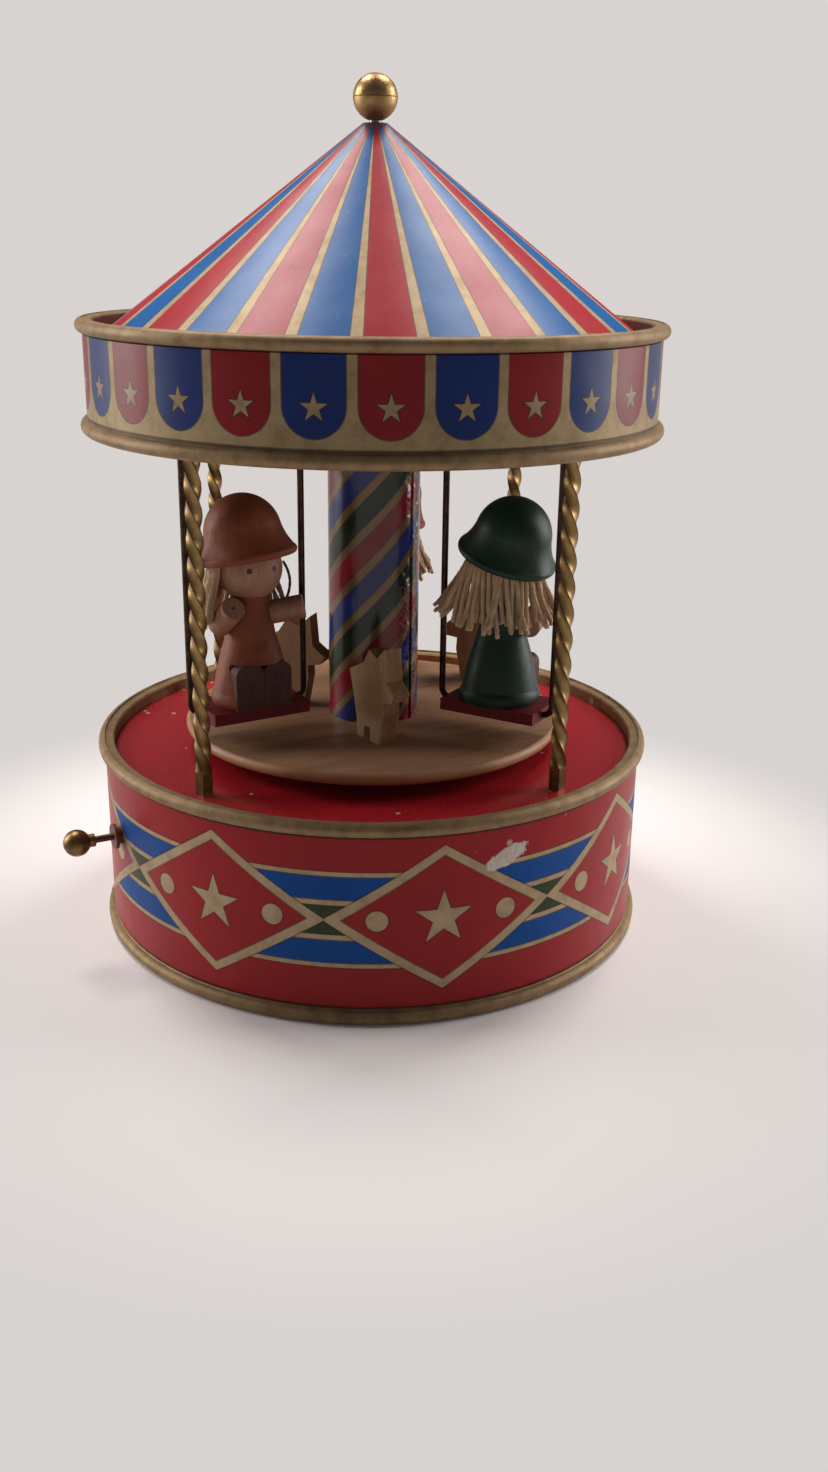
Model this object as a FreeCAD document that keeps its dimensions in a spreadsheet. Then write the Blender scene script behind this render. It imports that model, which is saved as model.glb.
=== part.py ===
import FreeCAD, Part
import math
import os

import Sketcher
from FreeCAD import Placement, Rotation, Vector

doc = FreeCAD.newDocument("wind_up_tin_toy")
sheet = doc.addObject("Spreadsheet::Sheet", "sheet")

# Driving dimensions, in millimetres and degrees. The stop rod leaves the base along -X.
DIMENSIONS = {
    # tin drum that houses the movement
    "tin": 0.6,
    "base_radius": 73.4,
    "base_height": 52.6,
    "bead_radius": 1.7,
    "base_ring_inner": 70.8,
    "deck_top": 49.0,
    "floor_plate_top": 12.0,
    "floor_plate_radius": 72.4,
    # canopy
    "band_radius": 72.7,
    "band_bottom": 133.2,
    "band_top": 160.7,
    "band_ring_inner": 70.2,
    "canopy_floor_top": 137.8,
    "canopy_floor_inner": 58.5,
    "roof_radius": 68.5,
    "gutter_floor": 156.3,
    "roof_top": 206.0,
    "roof_tip_radius": 3.0,
    "finial_radius": 5.43,
    "finial_height": 211.8,
    # twisted columns
    "column_circle": 62.5,
    "column_side": 2.95,
    "column_pitch": 25.6,
    "column_foot": 6.0,
    "column_first_angle": 21.6,
    "tenon_radius": 1.2,
    # turntable, centre tube and carrier
    "turntable_radius": 51.4,
    "turntable_bottom": 53.0,
    "turntable_top": 56.0,
    "tube_radius": 12.2,
    "tube_top": 139.0,
    "seam_angle": -53.5,
    "spindle_radius": 2.5,
    "spindle_top": 199.0,
    "pivot_radius": 1.5,
    "hanger_height": 141.0,
    "hanger_radius": 1.2,
    "hanger_reach": 56.6,
    "running_clearance": 0.05,
    # swings, built along their own radius and turned into place
    "wire_radius": 0.85,
    "wire_inner": 21.7,
    "wire_outer": 54.0,
    "wire_bottom": 63.6,
    "wire_bend": 2.6,
    "seat_inner": 24.6,
    "seat_outer": 51.5,
    "seat_front": 9.5,
    "seat_back": 6.35,
    "seat_bottom": 62.2,
    "seat_top": 65.3,
    "swing_angle_one": -176.7,
    "swing_angle_two": -57.7,
    "swing_angle_three": 57.5,
    # dolls
    "doll_radius": 37.7,
    "doll_forward": 2.2,
    "body_height": 28.8,
    "body_radius": 10.5,
    "head_radius": 8.5,
    "head_height": 100.7,
    "hat_radius": 12.9,
    "hat_height": 16.8,
    "arm_radius": 3.1,
    "shoe_width": 7.7,
    "shoe_depth": 4.2,
    "shoe_height": 11.6,
    "shoe_front": 7.6,
    "dog_thickness": 5.2,
    # spring motor and musical movement
    "bedplate_top": 15.0,
    "barrel_radius": 13.0,
    "barrel_bottom": 16.6,
    "barrel_top": 28.0,
    "crown_radius": 14.7,
    "crown_teeth": 48.0,
    "pinion_teeth": 16.0,
    "cylinder_axis": 22.9,
    "cylinder_radius": 6.5,
    "cylinder_start": 18.4,
    "cylinder_end": 39.6,
    "gear_teeth": 24.0,
    "gear_radius": 6.0,
    "gear_middle": 42.0,
    "worm_radius": 1.8,
    "governor_height": 32.0,
    "brake_radius": 5.5,
    "arbor_radius": 3.0,
    "rod_radius": 0.9,
    "rod_height": 32.0,
    "knob_radius": 3.5,
    "knob_reach": 85.0,
}


class Size(float):
    """A number that remembers the sheet expression it stands for."""

    def __new__(cls, value, text):
        size = super().__new__(cls, value)
        size.text = text
        return size

    def __add__(self, other):
        return Size(float(self) + float(other), f"({self.text} + {text_of(other)})")

    def __sub__(self, other):
        return Size(float(self) - float(other), f"({self.text} - {text_of(other)})")

    def __mul__(self, other):
        return Size(float(self) * float(other), f"({self.text} * {text_of(other)})")

    def __truediv__(self, other):
        return Size(float(self) / float(other), f"({self.text} / {text_of(other)})")

    def __neg__(self):
        return Size(-float(self), f"(0 - {self.text})")


def text_of(value):
    return value.text if isinstance(value, Size) else repr(float(value))


def fill_sheet():
    """One row per dimension; returns a Size for each alias."""
    sizes = {}
    for row, (alias, value) in enumerate(DIMENSIONS.items(), start=1):
        sheet.set(f"A{row}", alias)
        sheet.set(f"B{row}", str(value))
        sheet.setAlias(f"B{row}", alias)
        sizes[alias] = Size(value, f"sheet.{alias}")
    doc.recompute()
    return sizes


S = fill_sheet()
SUBPARTS = []


def bind(item, **properties):
    """Set properties of a document object, through the sheet wherever the value comes from it."""
    for name, value in properties.items():
        setattr(item, name, float(value))
        if isinstance(value, Size):
            item.setExpression(name, value.text)


def keep(item, label, placement=None):
    """Make an object a sub-part of its own, with its label and its place."""
    item.Label = label
    if placement is not None:
        item.Placement = placement
    SUBPARTS.append(item)
    return item


def turned(angle, position=Vector(0, 0, 0)):
    """A placement about the vertical axis."""
    return Placement(Rotation(Vector(0, 0, 1), float(angle)).multVec(position),
                     Rotation(Vector(0, 0, 1), float(angle)))


# ---------------------------------------------------------------- sketches and bodies

def origin_feature(body, role):
    """One of the planes or axes of a body's origin."""
    return next(f for f in body.Origin.OriginFeatures if f.Role == role)


def new_sketch(body, name, role="XZ_Plane", lift=0.0):
    sketch = body.newObject("Sketcher::SketchObject", name)
    sketch.AttachmentSupport = (origin_feature(body, role), [""])
    sketch.MapMode = "FlatFace"
    if isinstance(lift, Size):
        sketch.AttachmentOffset = Placement(Vector(0, 0, float(lift)), Rotation())
        sketch.setExpression("AttachmentOffset.Base.z", lift.text)
    elif lift:
        sketch.AttachmentOffset = Placement(Vector(0, 0, lift), Rotation())
    return sketch


def arc_through(first, middle, last):
    """The sketch arc through three points, and whether it runs from first to last."""
    corners = (Vector(float(x), float(y), 0) for x, y in (first, middle, last))
    curve = Part.Arc(*corners).toShape().Curve
    centre = curve.Center
    start, end = (math.atan2(float(p[1]) - centre.y, float(p[0]) - centre.x) for p in (first, last))
    cross = ((float(middle[0]) - float(first[0])) * (float(last[1]) - float(first[1]))
             - (float(middle[1]) - float(first[1])) * (float(last[0]) - float(first[0])))
    anticlockwise = cross > 0
    circle = Part.Circle(centre, Vector(0, 0, 1), curve.Radius)
    if anticlockwise:
        return Part.ArcOfCircle(circle, start, end), True
    return Part.ArcOfCircle(circle, end, start), False


def outline(sketch, points):
    """Close a profile through the points, as lines, or as arcs where a point carries a middle point.

    A point is (x, y), or (x, y, middle_x, middle_y) for an arc that reaches it through the middle.
    """
    corners = [(p[0], p[1]) for p in points]
    ends = []
    for i, point in enumerate(points):
        before = corners[i - 1]
        if len(point) == 4:
            arc, forward = arc_through(before, (point[2], point[3]), corners[i])
            index = sketch.addGeometry(arc, False)
            start, end = (1, 2) if forward else (2, 1)
            ends.append((index, start, end))
            hold_centre(sketch, index, start, before, corners[i], arc.Center)
        else:
            line = Part.LineSegment(Vector(float(before[0]), float(before[1]), 0),
                                    Vector(float(point[0]), float(point[1]), 0))
            index = sketch.addGeometry(line, False)
            ends.append((index, 1, 2))
    for i, (index, start, _) in enumerate(ends):
        previous = ends[i - 1]
        sketch.addConstraint(Sketcher.Constraint("Coincident", previous[0], previous[2], index, start))
    for (index, _, end), corner in zip(ends, corners):
        for kind, value in (("DistanceX", corner[0]), ("DistanceY", corner[1])):
            added = sketch.addConstraint(
                Sketcher.Constraint(kind, -1, 1, index, end, float(value)))
            if isinstance(value, Size):
                sketch.setExpression(f"Constraints[{added}]", value.text)


def hold_centre(sketch, index, start, first, last, centre):
    """Hold an arc's centre at its distance from the arc's start, across its chord."""
    upright = abs(float(last[1]) - float(first[1])) >= abs(float(last[0]) - float(first[0]))
    if upright:
        sketch.addConstraint(
            Sketcher.Constraint("DistanceX", index, start, index, 3, centre.x - float(first[0])))
    else:
        sketch.addConstraint(
            Sketcher.Constraint("DistanceY", index, start, index, 3, centre.y - float(first[1])))


def circles(sketch, rings):
    """Circles at (x, y, radius), held by their radius and centre."""
    for x, y, radius in rings:
        index = sketch.addGeometry(
            Part.Circle(Vector(float(x), float(y), 0), Vector(0, 0, 1), float(radius)), False)
        for kind, terms, value in (("Radius", (index,), radius),
                                   ("DistanceX", (-1, 1, index, 3), x),
                                   ("DistanceY", (-1, 1, index, 3), y)):
            added = sketch.addConstraint(Sketcher.Constraint(kind, *terms, float(value)))
            if isinstance(value, Size):
                sketch.setExpression(f"Constraints[{added}]", value.text)


def new_body(label, placement=None):
    return keep(doc.addObject("PartDesign::Body", label), label, placement)


def revolve(body, points, angle=360.0, name="turned"):
    """Turn a closed (radius, height) profile about the body's vertical axis."""
    sketch = new_sketch(body, f"{body.Label}_{name}_profile")
    outline(sketch, points)
    feature = body.newObject("PartDesign::Revolution", f"{body.Label}_{name}")
    feature.Profile = sketch
    feature.ReferenceAxis = (sketch, ["V_Axis"])
    feature.Angle = angle
    feature.Midplane = angle < 360
    body.Tip = feature
    return feature


def pad(body, draw, length, lift=0.0, name="pad", role="XY_Plane", midplane=False):
    """Pad a sketch that draw() fills, from a height above an origin plane."""
    sketch = new_sketch(body, f"{body.Label}_{name}_profile", role, lift)
    draw(sketch)
    feature = body.newObject("PartDesign::Pad", f"{body.Label}_{name}")
    feature.Profile = sketch
    feature.Midplane = midplane
    bind(feature, Length=length)
    body.Tip = feature
    return feature


def pocket(body, draw, length, lift=0.0, name="pocket", role="XY_Plane", upwards=True, midplane=False):
    """Cut a sketch that draw() fills out of the body, away from an origin plane."""
    sketch = new_sketch(body, f"{body.Label}_{name}_profile", role, lift)
    draw(sketch)
    feature = body.newObject("PartDesign::Pocket", f"{body.Label}_{name}")
    feature.Profile = sketch
    feature.Reversed = upwards
    feature.Midplane = midplane
    bind(feature, Length=length)
    body.Tip = feature
    return feature


def rectangle(left, right, bottom, top):
    return [(left, bottom), (right, bottom), (right, top), (left, top)]


def around(circle, count, radius, first=0.0):
    """Circles of one radius evenly round a pitch circle."""
    steps = (math.radians(first + 360.0 * i / count) for i in range(count))
    return [(circle * math.cos(a), circle * math.sin(a), radius) for a in steps]


# ---------------------------------------------------------------- shapes made with Part's functions

def cylinder(radius, start, end):
    """A round bar between two points."""
    run = end.sub(start)
    return Part.makeCylinder(float(radius), run.Length, start, run)


def block(left, right, front, back, bottom, top):
    return Part.makeBox(float(right) - float(left), float(back) - float(front),
                        float(top) - float(bottom), Vector(float(left), float(front), float(bottom)))


def bent_bar(points, bend, radius):
    """A round bar along straight runs joined by tangent arcs."""
    edges = []
    start = points[0]
    for before, corner, after in zip(points, points[1:], points[2:]):
        into = corner.sub(before).normalize()
        out = after.sub(corner).normalize()
        half_turn = into.getAngle(out) / 2
        trim = bend * math.tan(half_turn)
        first = corner.sub(into * trim)
        last = corner.add(out * trim)
        inward = out.sub(into).normalize()
        middle = corner.add(inward * (bend / math.cos(half_turn) - bend))
        edges.append(Part.LineSegment(start, first).toShape())
        edges.append(Part.Arc(first, middle, last).toShape())
        start = last
    edges.append(Part.LineSegment(start, points[-1]).toShape())
    run = points[1].sub(points[0])
    section = Part.Wire(Part.makeCircle(float(radius), points[0], run))
    return Part.Wire(edges).makePipeShell([section], True, True)


def toothed_ring(teeth, root, pitch, tip, bottom, height, tooth_share=0.42):
    """A spur wheel with straight-sided teeth, the first of them on +X."""
    corners = []
    step = 2 * math.pi / teeth
    for i in range(teeth):
        middle = i * step
        for radius, share in ((root, -0.62), (pitch, -0.5), (tip, -0.22),
                              (tip, 0.22), (pitch, 0.5), (root, 0.62)):
            angle = middle + share * 2 * tooth_share * step
            corners.append(Vector(radius * math.cos(angle), radius * math.sin(angle), bottom))
    corners.append(corners[0])
    return Part.Face(Part.makePolygon(corners)).extrude(Vector(0, 0, height))


def feature(label, shape, placement=None):
    """A sub-part whose shape is built from the sheet with Part's own functions."""
    item = doc.addObject("Part::Feature", label)
    item.Shape = shape
    return keep(item, label, placement)


def joined(shapes):
    """Separate solids in one sub-part."""
    return Part.makeCompound(shapes)


def fused(shapes):
    return shapes[0].multiFuse(shapes[1:]).removeSplitter()


# ---------------------------------------------------------------- base

def base_drum():
    """Rolled tin wall with a bead at the foot and at the rim, and the flat gold ring round the deck."""
    wall, bead, tin = S["base_radius"], S["bead_radius"], S["tin"]
    inside = wall - tin
    ring = S["base_height"]
    lip = S["base_ring_inner"]
    deck = S["deck_top"]
    ledge = S["floor_plate_top"]
    body = new_body("base_drum")
    revolve(body, [
        (wall - 1.4, 0.0),
        (wall, 0.0),
        (wall, bead * 2, wall + bead, bead),
        (wall - 0.25, bead * 2 + 0.3),
        (wall - 0.25, bead * 2 + 0.9),
        (wall, bead * 2 + 1.2),
        (wall, ring - bead * 2 - 0.4),
        (wall - 0.25, ring - bead * 2 - 0.2),
        (wall, ring - bead * 2),
        (wall, ring, wall + bead, ring - bead),
        (wall - 0.2, ring - 0.5),
        (lip + 0.4, ring - 0.5),
        (lip, ring - 0.9),
        (lip, deck),
        (lip + 0.6, deck),
        (lip + 0.6, ring - 1.1),
        (inside, ring - 1.1),
        (inside, ledge + 0.8),
        (inside - 1.0, ledge + 0.8),
        (inside - 1.0, ledge),
        (inside, ledge),
        (inside, bead * 2),
        (wall - 1.4, bead * 2),
    ])
    hole = S["rod_radius"] + 1.3
    pocket(body, lambda sketch: circles(sketch, [(0.0, S["rod_height"], hole)]),
           length=wall + 3, name="rod_hole", role="YZ_Plane", upwards=False)


def column_places(radius):
    """(x, y, radius) of the four columns."""
    return around(float(S["column_circle"]), 4, radius, float(S["column_first_angle"]))


def base_top_plate():
    """The red deck, under the drum's lip."""
    body = new_body("base_top_plate")
    edge = S["base_radius"] - S["tin"] - 0.2
    pad(body, lambda sketch: circles(sketch, [(0.0, 0.0, edge)]), S["tin"],
        S["deck_top"] - S["tin"])
    holes = column_places(S["tenon_radius"]) + [(0.0, 0.0, S["spindle_radius"] + 2.5)]
    pocket(body, lambda sketch: circles(sketch, holes), S["tin"] * 3, S["deck_top"] - S["tin"] * 2,
           name="holes")


def base_bottom_plate():
    body = new_body("base_bottom_plate")
    top, tin, edge = S["floor_plate_top"], S["tin"], S["floor_plate_radius"]
    revolve(body, [
        (S["arbor_radius"] + 2, top - tin),
        (edge - 3.0, top - tin),
        (edge - 3.0, top - 4.0),
        (edge - 2.4, top - 4.0),
        (edge - 2.4, top - tin - 0.6),
        (edge, top - tin - 0.6),
        (edge, top),
        (S["arbor_radius"] + 2, top),
    ])
    holes = [(x, y, 1.2) for x, y in FLOOR_SCREWS]
    pocket(body, lambda sketch: circles(sketch, holes), tin * 3, top - tin * 2, name="screw_holes")


FLOOR_SCREWS = ((-58.0, -14.0), (-58.0, 18.0), (14.0, -16.0), (14.0, 16.0))
COMB_SCREWS = ((-35.0, -21.0), (-29.0, -21.0), (-23.0, -21.0))


def screw(x, y, seat, length, head_below):
    """A slotted cheese-head screw; its head sits below or above the seat height."""
    way = -1 if head_below else 1
    shank = cylinder(1.15, Vector(x, y, seat), Vector(x, y, seat - way * length))
    head = cylinder(2.3, Vector(x, y, seat), Vector(x, y, seat + way * 1.5))
    slot = block(x - 2.6, x + 2.6, y - 0.3, y + 0.3, seat + way * 1.2 - 0.4, seat + way * 1.2 + 0.4)
    return fused([shank, head]).cut(slot)


def movement_screws():
    """Four screws hold the movement to the floor plate, and three hold the comb."""
    plate_under = float(S["floor_plate_top"] - S["tin"])
    comb_top = float(S["cylinder_axis"]) + 0.5
    floor = [screw(x, y, plate_under, 3.2, True) for x, y in FLOOR_SCREWS]
    comb = [screw(x, y, comb_top, 5.0, False) for x, y in COMB_SCREWS]
    feature("movement_screws", joined(floor + comb))


def movement_bedplate():
    """Cast plate that carries the motor, with the comb's block and the rod's guide post."""
    body = new_body("movement_bedplate")
    floor, top = S["floor_plate_top"], S["bedplate_top"]
    pad(body, lambda sketch: outline(sketch, rectangle(-63.0, 19.0, -28.0, 22.0)), top - floor, floor)
    pad(body, lambda sketch: outline(sketch, rectangle(-39.5, -18.5, -26.0, -15.5)),
        S["cylinder_axis"] - 0.5 - top, top, name="comb_block")
    pad(body, lambda sketch: outline(sketch, rectangle(-61.0, -58.0, -3.0, 3.0)),
        S["rod_height"] + 3 - top, top, name="rod_post")
    pocket(body, lambda sketch: circles(sketch, [(0, 0, S["arbor_radius"] + S["running_clearance"])]),
           top, floor - 1, name="arbor_hole")
    rod_hole = S["rod_radius"] + S["running_clearance"]
    pocket(body, lambda sketch: circles(sketch, [(0, S["rod_height"], rod_hole)]),
           S["base_radius"], name="rod_hole", role="YZ_Plane", upwards=False)
    pocket(body, lambda sketch: circles(sketch, [(x, y, 1.15) for x, y in FLOOR_SCREWS]),
           2.6, floor, name="floor_screw_holes")
    pocket(body, lambda sketch: circles(sketch, [(x, y, 1.15) for x, y in COMB_SCREWS]),
           6.0, S["cylinder_axis"] - 4.5, name="comb_screw_holes")


def music_comb():
    """Steel comb: a plate with teeth that reach for the pinned cylinder."""
    body = new_body("music_comb")
    middle = S["cylinder_axis"]
    teeth = 16
    pad(body, lambda sketch: outline(sketch, rectangle(-39.5, -18.5, -26.0, -7.4)), 1.0, middle - 0.5)
    pitch = 21.0 / teeth
    slots = pocket(body, lambda sketch: outline(
        sketch, rectangle(-18.5 - pitch - 0.12, -18.5 - pitch + 0.12, -15.0, -7.0)),
        3.0, middle - 1.5, name="slot")
    rows = body.newObject("PartDesign::LinearPattern", "music_comb_slots")
    rows.Originals = [slots]
    rows.Direction = (origin_feature(body, "X_Axis"), [""])
    rows.Reversed = True
    rows.Length = pitch * (teeth - 2)
    rows.Occurrences = teeth - 1
    body.Tip = rows
    pocket(body, lambda sketch: circles(sketch, [(x, y, 1.15) for x, y in COMB_SCREWS]),
           3.0, middle - 1.5, name="screw_holes")


def cylinder_brackets():
    """Two upright plates that hold the music cylinder's shaft."""
    axis, bed = float(S["cylinder_axis"]), float(S["bedplate_top"])
    bore = 0.9 + float(S["running_clearance"])
    plates = []
    for left, right in ((-17.6, -16.5), (-45.2, -44.0)):
        plate = block(left, right, -5.0, 3.6, bed, axis + 2.6)
        hole = cylinder(bore, Vector(left - 1, 0, axis), Vector(right + 1, 0, axis))
        plates.append(plate.cut(hole))
    feature("cylinder_brackets", joined(plates))


def governor_bracket():
    """C-shaped frame beside the cylinder, with a pivot hole in each arm."""
    x, y = -float(S["gear_middle"]), float(S["gear_radius"] + S["worm_radius"])
    bed = float(S["bedplate_top"])
    top = float(S["governor_height"]) + 4.5
    back = y + 6.6
    frame = fused([
        block(x - 3, x + 3, back, back + 1.4, bed, top),
        block(x - 3, x + 3, y - 2, back + 0.1, bed, bed + 1.2),
        block(x - 3, x + 3, y - 2, back + 0.1, top - 1.2, top),
    ])
    bore = 0.6 + float(S["running_clearance"])
    feature("governor_bracket", frame.cut(cylinder(bore, Vector(x, y, bed - 1), Vector(x, y, top + 1))))


def output_bush():
    """Turned brass bush that carries the spindle where it leaves the deck."""
    body = new_body("output_bush")
    bore = S["spindle_radius"] + S["running_clearance"]
    outer = S["spindle_radius"] + 2.5
    deck = S["deck_top"]
    revolve(body, [
        (bore, deck - 3.0),
        (outer, deck - 3.0),
        (outer, deck),
        (outer + 2.5, deck),
        (outer + 2.5, deck + 0.8),
        (bore, deck + 0.8),
    ])


def stop_grommet():
    """The flanged bush in the wall that the stop rod slides through; made along X."""
    wall, height = float(S["base_radius"]), float(S["rod_height"])
    hole = float(S["rod_radius"] + 1.3)
    tube = cylinder(hole, Vector(-wall + 2.0, 0, height), Vector(-wall - 1.2, 0, height))
    flange = cylinder(3.3, Vector(-wall - 1.2, 0, height), Vector(-wall - 2.1, 0, height))
    bore = cylinder(S["rod_radius"] + S["running_clearance"],
                    Vector(-wall + 4, 0, height), Vector(-wall - 4, 0, height))
    feature("stop_grommet", tube.fuse(flange).cut(bore))


# ---------------------------------------------------------------- columns and canopy

def twisted_column(label, angle):
    """A square bar: a plain foot, then a left-hand twist up to the canopy, with a tenon at each end."""
    side = float(S["column_side"])
    foot = float(S["deck_top"])
    top = float(S["canopy_floor_top"] - S["tin"])
    start = foot + float(S["column_foot"])
    square = Part.makePolygon([Vector(x * side / 2, y * side / 2, 0)
                               for x, y in ((-1, -1), (1, -1), (1, 1), (-1, 1), (-1, -1))])
    straight = Part.Face(square).extrude(Vector(0, 0, start - foot))
    straight.translate(Vector(0, 0, foot))
    spine = Part.Wire(Part.LineSegment(Vector(0, 0, start), Vector(0, 0, top)).toShape())
    guide = Part.makeHelix(float(S["column_pitch"]), top - start, 5.0, 0, True)
    guide.translate(Vector(0, 0, start))
    section = square.copy()
    section.translate(Vector(0, 0, start))
    sweep = Part.BRepOffsetAPI.MakePipeShell(spine)
    sweep.setAuxiliarySpine(Part.Wire(guide.Edges), True, 0)
    sweep.add(section, False, False)
    sweep.build()
    sweep.makeSolid()
    twist = sweep.shape()
    tenon = float(S["tenon_radius"])
    low = cylinder(tenon, Vector(0, 0, foot - 2.0), Vector(0, 0, foot + 0.5))
    high = cylinder(tenon, Vector(0, 0, top - 0.5), Vector(0, 0, top + 2.0))
    shape = straight.fuse([twist, low, high])
    feature(label, shape, turned(angle, Vector(float(S["column_circle"]), 0, 0)))


def column_washers():
    """A riveting washer on each end of each column."""
    below = float(S["deck_top"] - S["tin"])
    above = float(S["canopy_floor_top"])
    rings = []
    for x, y, _ in column_places(1.0):
        for bottom in (below - 0.8, above):
            outer = Part.makeCylinder(3.2, 0.8, Vector(x, y, bottom))
            rings.append(outer.cut(Part.makeCylinder(float(S["tenon_radius"]), 0.8, Vector(x, y, bottom))))
    feature("column_washers", joined(rings))


def canopy_band():
    """Rolled tin band with two beads, and the flat ring that turns down into the gutter."""
    wall, bead, tin = S["band_radius"], S["bead_radius"], S["tin"]
    low, high = S["band_bottom"], S["band_top"]
    lip = S["band_ring_inner"]
    floor = S["canopy_floor_top"]
    body = new_body("canopy_band")
    revolve(body, [
        (wall - tin, low),
        (wall, low),
        (wall, low + bead * 2, wall + bead, low + bead),
        (wall - 0.25, low + bead * 2 + 0.2),
        (wall - 0.25, low + bead * 2 + 0.8),
        (wall, low + bead * 2 + 1.0),
        (wall, high - bead * 2 - 0.3),
        (wall - 0.2, high - bead * 2 - 0.15),
        (wall, high - bead * 2),
        (wall, high, wall + bead, high - bead),
        (wall - 0.2, high - 0.3),
        (lip + 0.4, high - 0.3),
        (lip, high - 0.7),
        (lip, S["gutter_floor"]),
        (lip + 0.5, S["gutter_floor"]),
        (lip + 0.5, high - 0.9),
        (wall - tin, high - 0.9),
        (wall - tin, floor + 0.8),
        (wall - tin - 0.8, floor + 0.8),
        (wall - tin - 0.8, floor),
        (wall - tin, floor),
    ])


def canopy_floor():
    """Flat ring that the columns carry."""
    body = new_body("canopy_floor")
    edge = S["band_radius"] - S["tin"] - 0.1
    pad(body, lambda sketch: circles(sketch, [(0, 0, edge), (0, 0, S["canopy_floor_inner"])]),
        S["tin"], S["canopy_floor_top"] - S["tin"])
    pocket(body, lambda sketch: circles(sketch, column_places(S["tenon_radius"])),
           S["tin"] * 3, S["canopy_floor_top"] - S["tin"] * 2, name="column_holes")


def canopy_roof():
    """Spun tin cone whose flat skirt is the gutter floor."""
    body = new_body("canopy_roof")
    floor, top, tin = S["gutter_floor"], S["roof_top"], S["tin"]
    skirt = S["band_ring_inner"] + 1.6
    tip = S["roof_tip_radius"]
    revolve(body, [
        (skirt, floor - tin),
        (skirt, floor),
        (S["roof_radius"], floor),
        (tip, top),
        (S["pivot_radius"], top),
        (S["pivot_radius"], top - tin),
        (tip - 0.2, top - tin),
        (S["roof_radius"] - 0.8, floor - tin),
    ])


def finial():
    """Brass ball on a threaded stud, which is bored below for the spindle's top pivot."""
    sphere = doc.addObject("Part::Sphere", "finial_sphere")
    bind(sphere, Radius=S["finial_radius"])
    sphere.Placement = Placement(Vector(0, 0, float(S["finial_height"])), Rotation())
    drill = doc.addObject("Part::Cylinder", "finial_drill")
    bind(drill, Radius=S["pivot_radius"], Height=S["finial_height"] + 2.0)
    ball = doc.addObject("Part::Cut", "finial_ball")
    ball.Base = sphere
    ball.Tool = drill
    keep(ball, "finial_ball")
    middle, bore = S["finial_height"], S["pivot_radius"]
    stud = new_body("finial_stud")
    under = S["roof_top"] - S["tin"]
    pin = S["pivot_radius"] + S["running_clearance"]
    pin_top = S["spindle_top"] + 0.6
    revolve(stud, [
        (pin, under - 10.0),
        (pin + 1.5, under - 10.0),
        (pin + 1.5, under - 4.0),
        (2.6, under - 0.4),
        (2.6, under),
        (bore, under),
        (bore, middle + 2.0),
        (0.0, middle + 2.0),
        (0.0, pin_top),
        (pin, pin_top),
    ])


# ---------------------------------------------------------------- key, stop, cylinder and governor

def winding_key_group():
    """The arbor that hooks the mainspring, with its ratchet wheel, and the butterfly key on its square."""
    radius = float(S["arbor_radius"])
    bed = float(S["bedplate_top"])
    shaft = cylinder(radius, Vector(0, 0, 5.0), Vector(0, 0, float(S["barrel_top"]) - 2.0))
    teeth = []
    count, root, tip = 18, 6.2, 7.2
    for i in range(count):
        for reach, lead in ((root, 0.0), (tip, 2.0)):
            angle = math.radians(360.0 * i / count + lead)
            teeth.append(Vector(reach * math.cos(angle), reach * math.sin(angle), bed + 0.3))
    ratchet = Part.Face(Part.makePolygon(teeth + [teeth[0]])).extrude(Vector(0, 0, 1.0))
    feature("winding_arbor", fused([shaft, ratchet]))

    body = new_body("winding_key")
    pad(body, lambda sketch: circles(sketch, [(0, 0, 4.2)]), 6.5, 4.0, name="boss")
    wing = [
        (3.0, 9.0),
        (-3.0, 9.0),
        (-9.0, 9.4),
        (-9.0, 1.8, -18.0, 5.6),
        (9.0, 1.8, 0.0, 3.4),
        (9.0, 9.4, 18.0, 5.6),
    ]
    pad(body, lambda sketch: outline(sketch, wing), 1.8, name="wings", role="XZ_Plane", midplane=True)
    pocket(body, lambda sketch: circles(sketch, [(0, 0, S["arbor_radius"])]), 10.0, 5.0, name="bore")


def stop_group():
    """Cranked wire with a ball knob outside and a collar that meets its post when it is pushed in."""
    radius, height = S["rod_radius"], float(S["rod_height"])
    governor_y = float(S["gear_radius"] + S["worm_radius"])
    tip_x = -float(S["gear_middle"] + S["brake_radius"]) - 2.9
    knob_x = -float(S["knob_reach"])
    path = [
        Vector(knob_x, 0, height),
        Vector(-55.0, 0, height),
        Vector(-53.5, governor_y, height),
        Vector(tip_x, governor_y, height),
    ]
    rod = bent_bar(path, 1.4, radius)
    collar_x = -63.7
    collar = cylinder(2.6, Vector(collar_x, 0, height), Vector(collar_x - 0.9, 0, height))
    feature("stop_rod", rod.fuse(collar))
    ball = Part.makeSphere(float(S["knob_radius"]), Vector(knob_x, 0, height))
    boss = cylinder(1.7, Vector(knob_x + 2, 0, height), Vector(knob_x + 4.6, 0, height))
    feature("stop_knob", ball.fuse(boss).cut(rod))


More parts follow.
